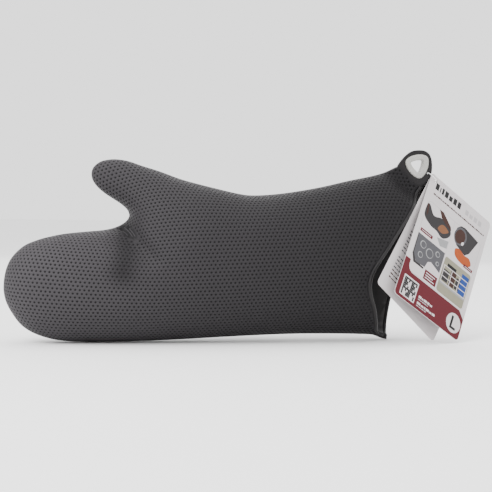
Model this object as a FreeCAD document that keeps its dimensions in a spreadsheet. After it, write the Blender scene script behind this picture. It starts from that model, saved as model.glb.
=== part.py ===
import FreeCAD, Part
import os
import Sketcher

# Gauntlet oven mitt: two domed panels of laminated sheet (grip skin, foam core, lining) joined by
# a seam strip along their outline, smooth hems round the open cuff, a two-layer hanging tab with a
# rounded three-sided eyelet, and two card tags on a short moulded loop.
#
# Frame: +X from the fingertips to the cuff, +Z up (thumb side), +Y from the near panel to the far
# panel. The mitt stands on its little-finger edge. Millimetres.
#
# Sizes are stated about the seam plane (Y = 0); shift_x and shift_y then move every finished piece
# so that the origin is the bottom centre of the whole object.

DOC = FreeCAD.newDocument("oven_mitt")
SIZES = DOC.addObject("Spreadsheet::Sheet", "Sizes")
ORIGIN_AXES = {"XZ": "XZ_Plane", "YZ": "YZ_Plane"}

# Stations of the hand and forearm, from fingertips to mouth. Each has its place along X, its low
# and high edge (Z), and how far the near and the far panel stand off the seam plane.
HAND_STATIONS = {
    "fingertip": {"x": -236.5, "low": 41, "high": 65, "near": 7, "far": 7},
    "nails": {"x": -224, "low": 22, "high": 87, "near": 20, "far": 15},
    "fingers": {"x": -193, "low": 4.5, "high": 102, "near": 34, "far": 24},
    "knuckles": {"x": -135, "low": 1.5, "high": 110, "near": 46, "far": 31},
    "palm": {"x": -76, "low": 3, "high": 135, "near": 54, "far": 36},
    "wrist": {"x": 3, "low": 6, "high": 144, "near": 54, "far": 35},
    "forearm": {"x": 76, "low": 7.5, "high": 152, "near": 47, "far": 31},
    "gauntlet": {"x": 142, "low": 4, "high": 168, "near": 38, "far": 27},
    "mouth": {"x": 200, "low": 4, "high": 152, "near": 32, "far": 25},
}

# Stations of the thumb, measured along its own axis from the thumb tip into the palm.
THUMB_STATIONS = {
    "thumb_tip": {"along": 0, "half": 9, "near": 8, "far": 7},
    "thumb_nail": {"along": 12, "half": 16, "near": 15, "far": 13},
    "thumb_joint": {"along": 30, "half": 22, "near": 21, "far": 17},
    "thumb_root": {"along": 60, "half": 32, "near": 28, "far": 23},
    "thumb_heel": {"along": 110, "half": 42, "near": 37, "far": 29},
    "thumb_end": {"along": 150, "half": 42, "near": 36, "far": 27},
}

# Corners of the hanging tab, clockwise from its foot on the mitt's top edge.
TAB_CORNERS = {
    "tab_foot": (132, 152),
    "tab_heel": (155, 177),
    "tab_shoulder": (170, 193.5),
    "tab_peak": (186, 194),
    "tab_nose": (192, 181),
    "tab_toe": (184, 150),
}

DRIVING_SIZES = [
    ("shift_x", -15.7),
    ("shift_y", 12.3),
    ("thumb_tip_x", -147.5),
    ("thumb_tip_z", 168),
    ("thumb_fall", 30),
    ("skin_wall", 1.0),
    ("foam_wall", 3.0),
    ("lining_wall", 0.8),
    ("seam_width", 1.2),
    ("hem_width", 4.0),
    ("rim_low_x", 147),
    ("rim_low_z", 3),
    ("rim_tilt", 14.6),
    ("rim_chord", 175),
    ("rim_deep_x", 112),
    ("rim_deep_z", 57),
    ("rim_bend", 30),
    ("tab_layer", 3.0),
    ("tab_corner_radius", 3.5),
    ("eyelet_x", 176.5),
    ("eyelet_z", 178.9),
    ("eyelet_turn", 41),
    ("eyelet_curve", 26),
    ("eyelet_corner", 3.0),
    ("eyelet_hole", 5.2),
    ("eyelet_barrel_wall", 1.3),
    ("eyelet_flange", 4.5),
    ("eyelet_washer", 3.4),
    ("eyelet_flange_thickness", 1.6),
    ("eyelet_washer_thickness", 1.4),
    ("eyelet_fit", 0.05),
    ("loop_hole_x", 187.8),
    ("loop_hole_z", 171.8),
    ("loop_fall", 43),
    ("loop_radius", 6.5),
    ("loop_wire", 0.5),
    ("loop_hole_radius", 1.4),
    ("loop_hole_offset", 0.45),
    ("loop_lock_radius", 1.5),
    ("loop_lock_length", 4.0),
    ("card_width", 96),
    ("card_height", 145),
    ("card_thickness", 0.4),
    ("card_corner_radius", 4.0),
    ("card_hole_radius", 2.0),
    ("card_hole_in", 8.2),
    ("card_hole_down", 5.2),
    ("front_card_yaw", -61.9),
    ("front_card_pitch", -12.6),
    ("front_card_roll", -33.4),
    ("rear_card_yaw", -61.0),
    ("rear_card_pitch", -7.5),
    ("rear_card_roll", -40.2),
    ("front_card_step", -6),
    ("rear_card_step", 12),
]

# Room that the cutting tools take beyond the mitt on every side.
REACH = 120
TOOL_LENGTH = 700


def write_sheet():
    """Put every driving size in its own cell, with its name as the alias."""
    rows = []
    for station, values in HAND_STATIONS.items():
        rows += [(station + "_" + key, value) for key, value in values.items()]
    for station, values in THUMB_STATIONS.items():
        rows += [(station + "_" + key, value) for key, value in values.items()]
    for corner, (x, z) in TAB_CORNERS.items():
        rows += [(corner + "_x", x), (corner + "_z", z)]
    rows += DRIVING_SIZES
    for row, (alias, value) in enumerate(rows, start=1):
        SIZES.set("A%d" % row, alias)
        SIZES.set("B%d" % row, str(value))
        SIZES.setAlias("B%d" % row, alias)
    DOC.recompute()


def bind(thing, **expressions):
    """Bind properties to the sheet; a double underscore in a name stands for a dot."""
    for name, expression in expressions.items():
        thing.setExpression(name.replace("__", "."), expression)
    return thing


def turned(axis, angle):
    """Rotation about a named axis, in degrees."""
    vectors = {"X": (1, 0, 0), "-X": (-1, 0, 0), "Y": (0, 1, 0), "-Y": (0, -1, 0)}
    return FreeCAD.Placement(FreeCAD.Vector(), FreeCAD.Rotation(FreeCAD.Vector(*vectors[axis]), angle))


def boolean(kind, name, first, second):
    """Part::Cut or Part::Common of two objects."""
    result = DOC.addObject("Part::" + kind, name)
    result.Base = first
    result.Tool = second
    return result


def common_of(name, shapes):
    """What all the given objects share."""
    result = DOC.addObject("Part::MultiCommon", name)
    result.Shapes = shapes
    return result


def fused(name, shapes):
    """The given objects as one solid."""
    result = DOC.addObject("Part::MultiFuse", name)
    result.Shapes = shapes
    return result


# ---------------------------------------------------------------- domed solids, one inside another

INSETS = ["0", "Sizes.skin_wall", "Sizes.skin_wall + Sizes.foam_wall",
          "Sizes.skin_wall + Sizes.foam_wall + Sizes.lining_wall"]


def hand_section(name, station, side, inset):
    """Upright ellipse across the hand at one station, smaller all round by the inset."""
    cell = "Sizes." + station + "_"
    ellipse = DOC.addObject("Part::Ellipse", name)
    ellipse.Placement = turned("-Y", 90)
    nose = " + " + inset if station == "fingertip" else ""
    return bind(
        ellipse,
        MajorRadius="(%shigh - %slow) / 2 - (%s)" % (cell, cell, inset),
        MinorRadius="%s%s - (%s)" % (cell, side, inset),
        Placement__Base__x="%sx%s" % (cell, nose),
        Placement__Base__z="(%shigh + %slow) / 2" % (cell, cell),
    )


def thumb_section(name, station, side, inset):
    """Ellipse across the thumb, square to the thumb's axis, smaller all round by the inset."""
    cell = "Sizes." + station + "_"
    ellipse = DOC.addObject("Part::Ellipse", name)
    ellipse.Placement = turned("-Y", 90)
    nose = " + " + inset if station == "thumb_tip" else ""
    along = "(%salong%s)" % (cell, nose)
    return bind(
        ellipse,
        MajorRadius="%shalf - (%s)" % (cell, inset),
        MinorRadius="%s%s - (%s)" % (cell, side, inset),
        Placement__Base__x="Sizes.thumb_tip_x + %s * cos(Sizes.thumb_fall)" % along,
        Placement__Base__z="Sizes.thumb_tip_z - %s * sin(Sizes.thumb_fall)" % along,
        Placement__Rotation__Angle="90 - Sizes.thumb_fall",
    )


def loft(name, sections):
    """Smooth closed solid through the sections."""
    result = DOC.addObject("Part::Loft", name)
    result.Sections = sections
    result.Solid = True
    result.Ruled = False
    return result


def dome(side, layer):
    """Hand and thumb as one solid, with the layers outside this one taken off."""
    tag = "%s_%d_" % (side, layer)
    inset = INSETS[layer]
    hand = [hand_section(tag + key, key, side, inset) for key in HAND_STATIONS]
    thumb = [thumb_section(tag + key, key, side, inset) for key in THUMB_STATIONS]
    return fused(tag + "dome", [loft(tag + "hand", hand), loft(tag + "thumb", thumb)])


# ---------------------------------------------------------------- zones of the wall

def left_of_rim(name, side, set_back):
    """Block on one side of the seam whose right face is the slanted line of the cuff's edge."""
    block = DOC.addObject("Part::Box", name)
    block.Length = TOOL_LENGTH
    block.Width = REACH
    block.Height = TOOL_LENGTH
    block.Placement = turned("Y", 15)
    half_seam = "Sizes.seam_width / 2"
    base_y = {"near": "-%d - %s" % (REACH, half_seam), "far": half_seam, "both": "-%d" % (REACH / 2)}
    length = "(%d + %s)" % (TOOL_LENGTH, set_back)
    return bind(
        block,
        Placement__Base__x="Sizes.rim_low_x - %s * cos(Sizes.rim_tilt) - %d * sin(Sizes.rim_tilt)"
                           % (length, REACH),
        Placement__Base__y=base_y[side],
        Placement__Base__z="Sizes.rim_low_z + %s * sin(Sizes.rim_tilt) - %d * cos(Sizes.rim_tilt)"
                           % (length, REACH),
        Placement__Rotation__Angle="Sizes.rim_tilt",
    )


def cuff_wedge(name, set_back):
    """Block with one rounded bend that cuts the near panel's edge back from the rim's two ends."""
    body, sketch = new_body(name, "XZ")
    deep_x = "(Sizes.rim_deep_x - %s)" % set_back
    low_x = "(2 * Sizes.rim_low_x - Sizes.rim_deep_x - %s)" % set_back
    low_z = "(2 * Sizes.rim_low_z - Sizes.rim_deep_z)"
    top_x = "(2 * Sizes.rim_chord * sin(Sizes.rim_tilt) + %s)" % low_x
    top_z = "(2 * Sizes.rim_chord * cos(Sizes.rim_tilt) + %s)" % low_z
    right_x = "(%s + %d)" % (deep_x, TOOL_LENGTH)
    closed_outline(sketch, [(deep_x, "Sizes.rim_deep_z"), (top_x, top_z), (right_x, top_z),
                            (right_x, low_z), (low_x, low_z)])
    pad = padded(body, sketch, str(2 * REACH))
    rounded_corners(body, pad, "Sizes.rim_bend", FreeCAD.Vector(0, 1, 0))
    return body


def rim_zones():
    """Where each panel and each hem may be."""
    near_all = left_of_rim("near_half", "near", "0")
    far_all = left_of_rim("far_half", "far", "0")
    far_inner = left_of_rim("far_inside_hem", "far", "Sizes.hem_width")
    wedge_edge = cuff_wedge("wedge_edge", "0")
    wedge_hem = cuff_wedge("wedge_hem", "Sizes.hem_width")
    near_panel = boolean("Cut", "near_panel_zone", near_all, wedge_hem)
    near_band = common_of("near_band", [near_all, wedge_hem])
    near_hem = boolean("Cut", "near_hem_zone", near_band, wedge_edge)
    far_hem = boolean("Cut", "far_hem_zone", far_all, far_inner)
    seam = common_of("seam_zone", [left_of_rim("seam_half", "both", "0"), seam_slab()])
    return {"near": (near_panel, near_hem), "far": (far_inner, far_hem), "seam": seam}


def seam_slab():
    """Thin upright slab about the seam plane."""
    slab = DOC.addObject("Part::Box", "seam_slab")
    slab.Length = TOOL_LENGTH
    slab.Height = TOOL_LENGTH
    slab.Placement.Base = FreeCAD.Vector(-TOOL_LENGTH / 2, 0, -TOOL_LENGTH / 2)
    return bind(slab, Width="Sizes.seam_width", Placement__Base__y="-Sizes.seam_width / 2")


def finished(thing):
    """Move a finished piece from the seam plane's frame to the object's own origin."""
    return bind(thing, Placement__Base__x="Sizes.shift_x", Placement__Base__y="Sizes.shift_y")


def wall_layers(side, domes, zones):
    """Grip skin, foam core, lining and cuff hem of one side."""
    panel_zone, hem_zone = zones[side]
    pieces = []
    for layer, word in enumerate(["grip_skin", "foam_core", "lining"]):
        shell = boolean("Cut", "%s_%s_shell" % (side, word), domes[layer], domes[layer + 1])
        pieces.append(finished(common_of("%s_%s" % (side, word), [shell, panel_zone])))
    whole = boolean("Cut", side + "_wall", domes[0], domes[-1])
    pieces.append(finished(common_of(side + "_hem", [whole, hem_zone])))
    return pieces, whole


# ---------------------------------------------------------------- rounded three-sided shapes

def rounded_triangle(name, reach, low_y, thickness):
    """Prism along Y with three gently bowed sides; reach is from its centre to each side."""
    parts = []
    for number in range(3):
        middle = "(Sizes.eyelet_turn + %d)" % (60 + 120 * number)
        side = DOC.addObject("Part::Cylinder", "%s_side_%d" % (name, number))
        side.Placement = turned("-X", 90)
        away = "(Sizes.eyelet_curve - (%s))" % reach
        bind(
            side,
            Radius="Sizes.eyelet_curve",
            Height=thickness,
            Placement__Base__x="Sizes.eyelet_x - %s * cos(%s)" % (away, middle),
            Placement__Base__y=low_y,
            Placement__Base__z="Sizes.eyelet_z - %s * sin(%s)" % (away, middle),
        )
        parts.append(side)
    corners = DOC.addObject("Part::Cylinder", name + "_corners")
    corners.Placement = turned("-X", 90)
    bind(
        corners,
        Radius="(%s) + Sizes.eyelet_corner" % reach,
        Height=thickness,
        Placement__Base__x="Sizes.eyelet_x",
        Placement__Base__y=low_y,
        Placement__Base__z="Sizes.eyelet_z",
    )
    return common_of(name, parts + [corners])


BARREL = "Sizes.eyelet_hole + Sizes.eyelet_barrel_wall"
GRIP = "(2 * Sizes.tab_layer + Sizes.eyelet_washer_thickness)"


def eyelet_pieces(near_outside):
    """Flanged barrel pushed through the tab from the near side, and the washer behind it."""
    flange = rounded_triangle("eyelet_flange", BARREL + " + Sizes.eyelet_flange",
                              "-Sizes.tab_layer - Sizes.eyelet_flange_thickness",
                              "Sizes.eyelet_flange_thickness")
    barrel = rounded_triangle("eyelet_barrel", BARREL, "-Sizes.tab_layer", GRIP)
    hole = rounded_triangle("eyelet_opening", "Sizes.eyelet_hole", "-%d" % (REACH / 2), str(REACH))
    bored = boolean("Cut", "eyelet_bored", fused("eyelet_solid", [flange, barrel]), hole)
    front = boolean("Cut", "eyelet_front", bored, near_outside)
    washer = rounded_triangle("eyelet_washer", BARREL + " + Sizes.eyelet_washer", "Sizes.tab_layer",
                              "Sizes.eyelet_washer_thickness")
    seat = rounded_triangle("eyelet_seat", BARREL + " + Sizes.eyelet_fit", "-%d" % (REACH / 2),
                            str(REACH))
    back = boolean("Cut", "eyelet_back", washer, seat)
    return finished(front), finished(back), seat


# ---------------------------------------------------------------- flat sheets: tab and cards

def new_body(name, plane):
    """PartDesign body with one sketch on the named origin plane."""
    body = DOC.addObject("PartDesign::Body", name)
    sketch = body.newObject("Sketcher::SketchObject", name + "_outline")
    planes = [item for item in body.Origin.OriginFeatures if item.Role == ORIGIN_AXES[plane]]
    sketch.AttachmentSupport = [(planes[0], "")]
    sketch.MapMode = "FlatFace"
    return body, sketch


def closed_outline(sketch, corners):
    """Straight-sided outline whose corners are each bound to two expressions."""
    count = len(corners)
    for number in range(count):
        start = FreeCAD.Vector(number, number * number, 0)
        end = FreeCAD.Vector(number + 1, (number + 1) ** 2, 0)
        sketch.addGeometry(Part.LineSegment(start, end), False)
    for number in range(count):
        after = (number + 1) % count
        sketch.addConstraint(Sketcher.Constraint("Coincident", number, 2, after, 1))
    for number, (across, up) in enumerate(corners):
        for kind, expression in (("DistanceX", across), ("DistanceY", up)):
            index = sketch.addConstraint(Sketcher.Constraint(kind, -1, 1, number, 1, number + 1.0))
            sketch.setExpression("Constraints[%d]" % index, expression)


def padded(body, sketch, length):
    """Pad a sketch by half the length to each side of its plane."""
    pad = body.newObject("PartDesign::Pad", body.Name + "_pad")
    pad.Profile = sketch
    pad.Midplane = True
    bind(pad, Length=length)
    DOC.recompute()
    return pad


def rounded_corners(body, pad, radius, depth_axis):
    """Fillet every edge that runs through the sheet's thickness."""
    names = []
    for number, edge in enumerate(pad.Shape.Edges, start=1):
        direction = edge.tangentAt(edge.FirstParameter)
        if abs(direction.dot(depth_axis)) > 0.99:
            names.append("Edge%d" % number)
    fillet = body.newObject("PartDesign::Fillet", body.Name + "_corners")
    fillet.Base = (pad, names)
    bind(fillet, Radius=radius)
    return fillet


def tab_plate():
    """Full plate of the tab, both layers thick, corners rounded."""
    body, sketch = new_body("tab_plate", "XZ")
    corners = [("Sizes.%s_x" % name, "Sizes.%s_z" % name) for name in TAB_CORNERS]
    closed_outline(sketch, corners)
    pad = padded(body, sketch, "2 * Sizes.tab_layer")
    rounded_corners(body, pad, "Sizes.tab_corner_radius", FreeCAD.Vector(0, 1, 0))
    return body


def loop_hole():
    """Punched hole near the tab's outer edge."""
    hole = DOC.addObject("Part::Cylinder", "loop_hole")
    hole.Placement = turned("-X", 90)
    hole.Height = REACH
    return bind(
        hole,
        Radius="Sizes.loop_hole_radius",
        Placement__Base__x="Sizes.loop_hole_x + Sizes.loop_hole_offset * cos(Sizes.loop_fall)",
        Placement__Base__y="-%d" % (REACH / 2),
        Placement__Base__z="Sizes.loop_hole_z - Sizes.loop_hole_offset * sin(Sizes.loop_fall)",
    )


def tab_pieces(domes, eyelet_seat):
    """Near and far layer of the tab, fitted to the top edge of the mitt."""
    plate = tab_plate()
    punches = fused("tab_punches", [eyelet_seat, loop_hole()])
    pieces = []
    for side in ("near", "far"):
        space = DOC.addObject("Part::Box", side + "_tab_space")
        space.Length = TOOL_LENGTH
        space.Width = REACH
        space.Height = TOOL_LENGTH
        low_y = -REACH if side == "near" else 0
        space.Placement.Base = FreeCAD.Vector(-TOOL_LENGTH / 2, low_y, -TOOL_LENGTH / 2)
        layer = common_of(side + "_tab_layer", [plate, space])
        outside = boolean("Cut", side + "_tab_outside", layer, domes[side][0])
        pieces.append(finished(boolean("Cut", side + "_tab", outside, punches)))
    return pieces


def tag_loop():
    """Moulded nylon ring through the tab and both cards, with its small lock."""
    ring = DOC.addObject("Part::Torus", "loop_ring")
    ring.Placement = turned("Y", 45)
    bind(
        ring,
        Radius1="Sizes.loop_radius",
        Radius2="Sizes.loop_wire",
        Placement__Base__x="Sizes.loop_hole_x + Sizes.loop_radius * cos(Sizes.loop_fall)",
        Placement__Base__z="Sizes.loop_hole_z - Sizes.loop_radius * sin(Sizes.loop_fall)",
        Placement__Rotation__Angle="90 - Sizes.loop_fall",
    )
    lock = DOC.addObject("Part::Cylinder", "loop_lock")
    lock.Placement = turned("Y", 135)
    start = "(Sizes.loop_radius - Sizes.loop_lock_length / 2)"
    bind(
        lock,
        Radius="Sizes.loop_lock_radius",
        Height="Sizes.loop_lock_length",
        Placement__Base__x="Sizes.loop_hole_x + %s * cos(Sizes.loop_fall)" % start,
        Placement__Base__y="Sizes.loop_radius",
        Placement__Base__z="Sizes.loop_hole_z - %s * sin(Sizes.loop_fall)" % start,
        Placement__Rotation__Angle="90 + Sizes.loop_fall",
    )
    return finished(fused("tag_loop", [ring, lock]))


def card(name, pose, step):
    """Card tag hung by a corner hole; step is how far round the loop it sits, in degrees."""
    body, sketch = new_body(name, "YZ")
    left = "-Sizes.card_hole_in"
    right = "Sizes.card_width - Sizes.card_hole_in"
    top = "Sizes.card_hole_down"
    bottom = "Sizes.card_hole_down - Sizes.card_height"
    closed_outline(sketch, [(left, top), (right, top), (right, bottom), (left, bottom)])
    pad = padded(body, sketch, "Sizes.card_thickness")
    rounded_corners(body, pad, "Sizes.card_corner_radius", FreeCAD.Vector(1, 0, 0))
    punch = body.newObject("Sketcher::SketchObject", name + "_hole")
    planes = [item for item in body.Origin.OriginFeatures if item.Role == ORIGIN_AXES["YZ"]]
    punch.AttachmentSupport = [(planes[0], "")]
    punch.MapMode = "FlatFace"
    punch.addGeometry(Part.Circle(FreeCAD.Vector(0, 0, 0), FreeCAD.Vector(0, 0, 1), 2), False)
    punch.addConstraint(Sketcher.Constraint("Coincident", 0, 3, -1, 1))
    index = punch.addConstraint(Sketcher.Constraint("Radius", 0, 2.0))
    punch.setExpression("Constraints[%d]" % index, "Sizes.card_hole_radius")
    pocket = body.newObject("PartDesign::Pocket", name + "_punch")
    pocket.Profile = punch
    pocket.Type = "ThroughAll"
    pocket.Midplane = True
    reach = "Sizes.loop_radius * (1 + cos(%s))" % step
    place = "create(<<vector>>; %s; %s; %s)" % (
        "Sizes.shift_x + Sizes.loop_hole_x + %s * cos(Sizes.loop_fall)" % reach,
        "Sizes.shift_y + Sizes.loop_radius * sin(%s)" % step,
        "Sizes.loop_hole_z - %s * sin(Sizes.loop_fall)" % reach,
    )
    turn = "create(<<rotation>>; Sizes.%s_yaw; Sizes.%s_pitch; Sizes.%s_roll)" % (pose, pose, pose)
    body.setExpression("Placement", "create(<<placement>>; %s; %s)" % (place, turn))
    return body


# ---------------------------------------------------------------- the whole mitt

def build():
    """Make every piece and return the finished ones."""
    write_sheet()
    domes = {side: [dome(side, layer) for layer in range(4)] for side in ("near", "far")}
    zones = rim_zones()
    pieces = []
    near_pieces, near_wall = wall_layers("near", domes["near"], zones)
    far_pieces, _ = wall_layers("far", domes["far"], zones)
    pieces += near_pieces + far_pieces
    pieces.append(finished(common_of("seam_strip", [near_wall, zones["seam"]])))
    front, back, seat = eyelet_pieces(domes["near"][0])
    pieces += tab_pieces(domes, seat) + [front, back]
    pieces.append(tag_loop())
    pieces.append(card("front_tag", "front_card", "Sizes.front_card_step"))
    pieces.append(card("rear_tag", "rear_card", "Sizes.rear_card_step"))
    DOC.recompute()
    return pieces


def check_and_write(pieces):
    """Stop on any failed feature, then write one STEP file for each piece."""
    for thing in DOC.Objects:
        bad = [word for word in thing.State if word in ("Invalid", "Error")]
        if bad:
            raise RuntimeError("%s is %s" % (thing.Name, ", ".join(bad)))
    for piece in pieces:
        if piece.Shape.isNull() or not piece.Shape.isValid():
            raise RuntimeError(piece.Name + " has no valid shape")
        if len(piece.Shape.Solids) != 1:
            raise RuntimeError("%s has %d solids" % (piece.Name, len(piece.Shape.Solids)))
    os.makedirs("parts", exist_ok=True)
    for piece in pieces:
        piece.Label = piece.Name
        piece.Shape.exportStep("parts/%s.step" % piece.Label)
        box = piece.Shape.optimalBoundingBox(False)
        print("%-16s %9.1f mm3  x %7.1f %7.1f  y %6.1f %6.1f  z %6.1f %6.1f" % (
            piece.Label, piece.Shape.Volume, box.XMin, box.XMax, box.YMin, box.YMax, box.ZMin, box.ZMax))


check_and_write(build())
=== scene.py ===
import math
from types import SimpleNamespace

import bpy
import numpy as np
from bpy.props import FloatProperty, FloatVectorProperty, PointerProperty
from mathutils import Euler, Matrix, Vector
from mathutils.bvhtree import BVHTree
from mathutils.geometry import delaunay_2d_cdt


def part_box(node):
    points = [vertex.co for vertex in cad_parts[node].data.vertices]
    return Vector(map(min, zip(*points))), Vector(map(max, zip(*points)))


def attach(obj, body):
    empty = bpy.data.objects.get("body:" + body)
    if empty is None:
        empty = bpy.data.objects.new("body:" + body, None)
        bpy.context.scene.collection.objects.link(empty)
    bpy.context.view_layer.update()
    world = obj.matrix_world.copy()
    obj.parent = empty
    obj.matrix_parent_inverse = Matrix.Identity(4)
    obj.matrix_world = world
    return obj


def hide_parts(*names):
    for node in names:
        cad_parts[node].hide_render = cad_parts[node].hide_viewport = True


bl_info = {
    "name": "Gauntlet oven mitt",
    "version": (1, 0, 0),
    "blender": (4, 5, 0),
    "location": "View3D > Sidebar > Mitt",
    "description": "Builds the finished look of a dimpled gauntlet oven mitt round its packed frame",
    "category": "Add Mesh",
}

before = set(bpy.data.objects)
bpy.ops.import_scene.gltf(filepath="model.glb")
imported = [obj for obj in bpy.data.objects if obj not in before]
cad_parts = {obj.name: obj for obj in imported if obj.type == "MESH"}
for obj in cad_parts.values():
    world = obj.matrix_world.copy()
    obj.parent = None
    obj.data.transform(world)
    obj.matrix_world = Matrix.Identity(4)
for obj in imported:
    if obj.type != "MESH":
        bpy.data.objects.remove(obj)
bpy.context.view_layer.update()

# ------------------------------------------------------------------ where things are
# The mitt is laid out in millimetres about its seam plane: x from the fingertips to the cuff, z up,
# y from the near panel to the far panel. ORIGIN moves that layout into the frame's metres.
MM = 0.001
FINGERTIP_X = -236.5
SEAM_LOW, SEAM_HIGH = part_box("seam_strip")
ORIGIN = np.array([SEAM_LOW.x - FINGERTIP_X * MM, (SEAM_LOW.y + SEAM_HIGH.y) / 2, 0.0])
# Half the thickness of the seam, and how far a layer of the panels may come in towards its middle.
HALF_SEAM = 0.6
SEAM_BITE = 0.3

# Seam outline from beside the cuff's lower corner, round the fingers and the thumb, to the tab's foot.
SEAM_OUTLINE = [
    (143.6, 1.7), (132.8, 5.6), (118, 6.5), (90, 7.1), (55, 7.2), (20, 6.3), (-20, 4.6), (-60, 2.6),
    (-95, 1.3), (-134, 0.6), (-163, 0.8), (-183, 2.2), (-196, 5), (-209, 10), (-219.6, 17.4),
    (-228.6, 29.4), (-234.3, 41), (-236.3, 53.5), (-234.3, 69.5), (-228.9, 81.7), (-217.7, 92.9),
    (-205, 98.7), (-193, 102.2), (-178, 105.2), (-158, 107.4), (-140, 109.3), (-129, 112.2),
    (-119.8, 117.6), (-116.2, 123.6), (-117.9, 129.4), (-123.9, 135.2), (-132.7, 140.9),
    (-141.5, 146.7), (-148.3, 152.8), (-152.3, 159), (-153.2, 164.9), (-151.4, 170.3),
    (-145.6, 175.4), (-138.5, 177.6), (-130, 178.3), (-118.4, 176.8), (-105.6, 172.7), (-87, 167.2),
    (-66.9, 160.2), (-47, 155.1), (-27, 150.5), (-10, 146.9), (3.3, 145.2), (22, 146), (44, 148.7),
    (75, 154.4), (106, 161.8), (127, 166.3), (142, 170.6), (154.9, 176.7),
]
# Where the panels end below the hanging tab, from the tab's foot to the hem.
TAB_LINE = [(154.9, 176.7), (160, 173.4), (166, 166.6), (172.6, 160.6)]
# Lower corner of the cuff, and the upper ends of the hem's two lines.
EAR = (147.6, 1.0)
HEM_TOP = {"near": (178.4, 157.4), "far": (184.6, 157)}
RIM_TOP = {"near": (182.6, 156.7), "far": (188.7, 156.7)}
# Open edge of the cuff between its lower corner and the tab.
RIM_MIDDLE = {
    "near": [(141, 4.4), (135.4, 10.6), (131.6, 21), (127.2, 34), (121.4, 47.8), (118.8, 59.5),
             (121.2, 71), (128.4, 83), (141, 100.4), (155, 119.4), (169, 138.4)],
    "far": [(157.6, 38), (168, 78), (178.6, 118)],
}
# Width of the hems, and the steps along both lines of each.
HEM_WIDTH = 4.0
HEM_STEPS = 90
# Outline of the hanging tab's two layers.
TAB_OUTLINE = {
    "near": [(154.7, 176.4), (158.7, 183), (164, 188.9), (170.1, 193.2), (177.5, 194.6),
             (184.7, 193.8), (189.5, 190.2), (191.7, 184.5), (192.3, 177.5), (191.4, 170),
             (187.8, 163.4), (183.4, 157), (177.5, 153.5), (169, 156), (160.5, 162.5), (155, 169)],
    "far": [(155.3, 175), (159.9, 182.4), (165, 188.2), (170.8, 192.5), (177.5, 194),
            (184.7, 193.2), (189.5, 189.6), (191.7, 184), (192.5, 177), (192.2, 169.5),
            (190.4, 163.4), (189, 157), (181.5, 152), (169, 154), (160.5, 160.5), (155, 167)],
}
# One layer's thickness, the gap between a layer and the seam plane, and the rounding of its edges.
TAB_LAYER = 3.0
TAB_GAP = 0.02
TAB_ROUNDING = 0.7
# Height of the panels where they meet the tab, and the distance over which they flatten to it.
TAB_RISE = 4.2
TAB_REACH = 26.0

# Fold where the thumb joins the palm: a broad valley with short sharp creases at its upper end.
# The valley is wider on the fingers' side, has faded out at a share of its length, and has its full
# depth where the panel stands high enough over the seam plane.
VALLEY = [(-121.5, 113.5), (-112.3, 102), (-97, 80.5)]
VALLEY_FINGER_SIDE = 17.0
VALLEY_ARM_SIDE = 7.5
VALLEY_END = 1.45
VALLEY_DEPTH = {"near": 7.5, "far": 3.0}
VALLEY_FULL_AT = 16.0
CREASE_LINES = [
    [(-126, 111.6), (-121.4, 107.4), (-117.2, 101.4)],
    [(-122.6, 113.6), (-117.4, 107.2), (-112.8, 98.6)],
    [(-118.4, 112.6), (-114.2, 106.6), (-110.8, 100)],
]
# Spacing of a crease's points, the least gap between two of them, and a crease's width and depth.
CREASE_STEP = 1.2
CREASE_GAP = 0.7
CREASE_WIDTH = 0.95
CREASE_EDGE = 1.3 * CREASE_WIDTH
CREASE_DEPTH = 1.3

# Painted shade beside the valley, where the fingers' slope faces away from the light: its line, its width
# and how dark it is.
FOLD_SHADE = [(-121, 112), (-121.5, 98), (-122.5, 84), (-125, 72)]
FOLD_SHADE_WIDTH = 13.0
FOLD_SHADE_TONE = 0.66

# Depth of the panels as a share of their half-width, from the fingertips to the cuff.
DEPTH_AT = [-236, -190, -135, -76, 20, 90, 150, 190]
DEPTH_SHARE = [0.86, 0.84, 0.80, 0.76, 0.70, 0.62, 0.48, 0.42]
FAR_DEPTH = 0.67
# Unevenness of the stuffed panels, and the height over the seam plane from which it is full.
WAVE_HEIGHT = 0.45
WAVE_FULL_AT = 25.0

# Eyelet: centre, turn in degrees, radius of a side's curve, roundness of the corners, half its hole.
EYELET_AT = (176.5, 178.9)
EYELET_TURN = 41.0
EYELET_CURVE = 26.0
EYELET_CORNER = 3.0
EYELET_HOLE = 5.2
# Its barrel's wall, the play round it, the gap under flange and washer, and the washer's height.
EYELET_WALL = 1.3
EYELET_PLAY = 0.05
EYELET_LIFT = 0.03
WASHER_RISE = 1.4
# Points round it, how sharply its sides meet, and the least angle of an edge that stays sharp.
EYELET_STEPS = 96
EYELET_BLEND = 14.0
EYELET_CREASE = 50

# Tag loop: where it passes the tab, how far it falls below level in degrees, and its radius.
LOOP_AT = (187.8, 171.8)
LOOP_FALL = 43.0
LOOP_RADIUS = 6.5
# Radius of its wire, and the points along it and round it.
LOOP_WIRE = 0.5
LOOP_STEPS = 64
WIRE_STEPS = 16
# Its lock: how much thicker it is, the point that it is at, and half its length in points.
LOCK_SWELL = 1.0
LOCK_AT = LOOP_STEPS // 4
LOCK_REACH = 3.0
# Round hole in the tab for the loop: radius, distance in from the loop's place, points round it.
PUNCH_RADIUS = 1.4
PUNCH_IN = 0.45
PUNCH_STEPS = 20

# Card tags: thickness, hole from the left and top edges, then turns and place round the loop in degrees.
CARD_THICKNESS = 0.4
CARD_HOLE_IN = 8.2
CARD_HOLE_DOWN = 5.2
CARD_TURNS = {"front": (-61.9, -12.6, -33.4), "rear": (-61.0, -7.5, -40.2)}
CARD_STEPS = {"front": -6.0, "rear": 12.0}

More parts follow.
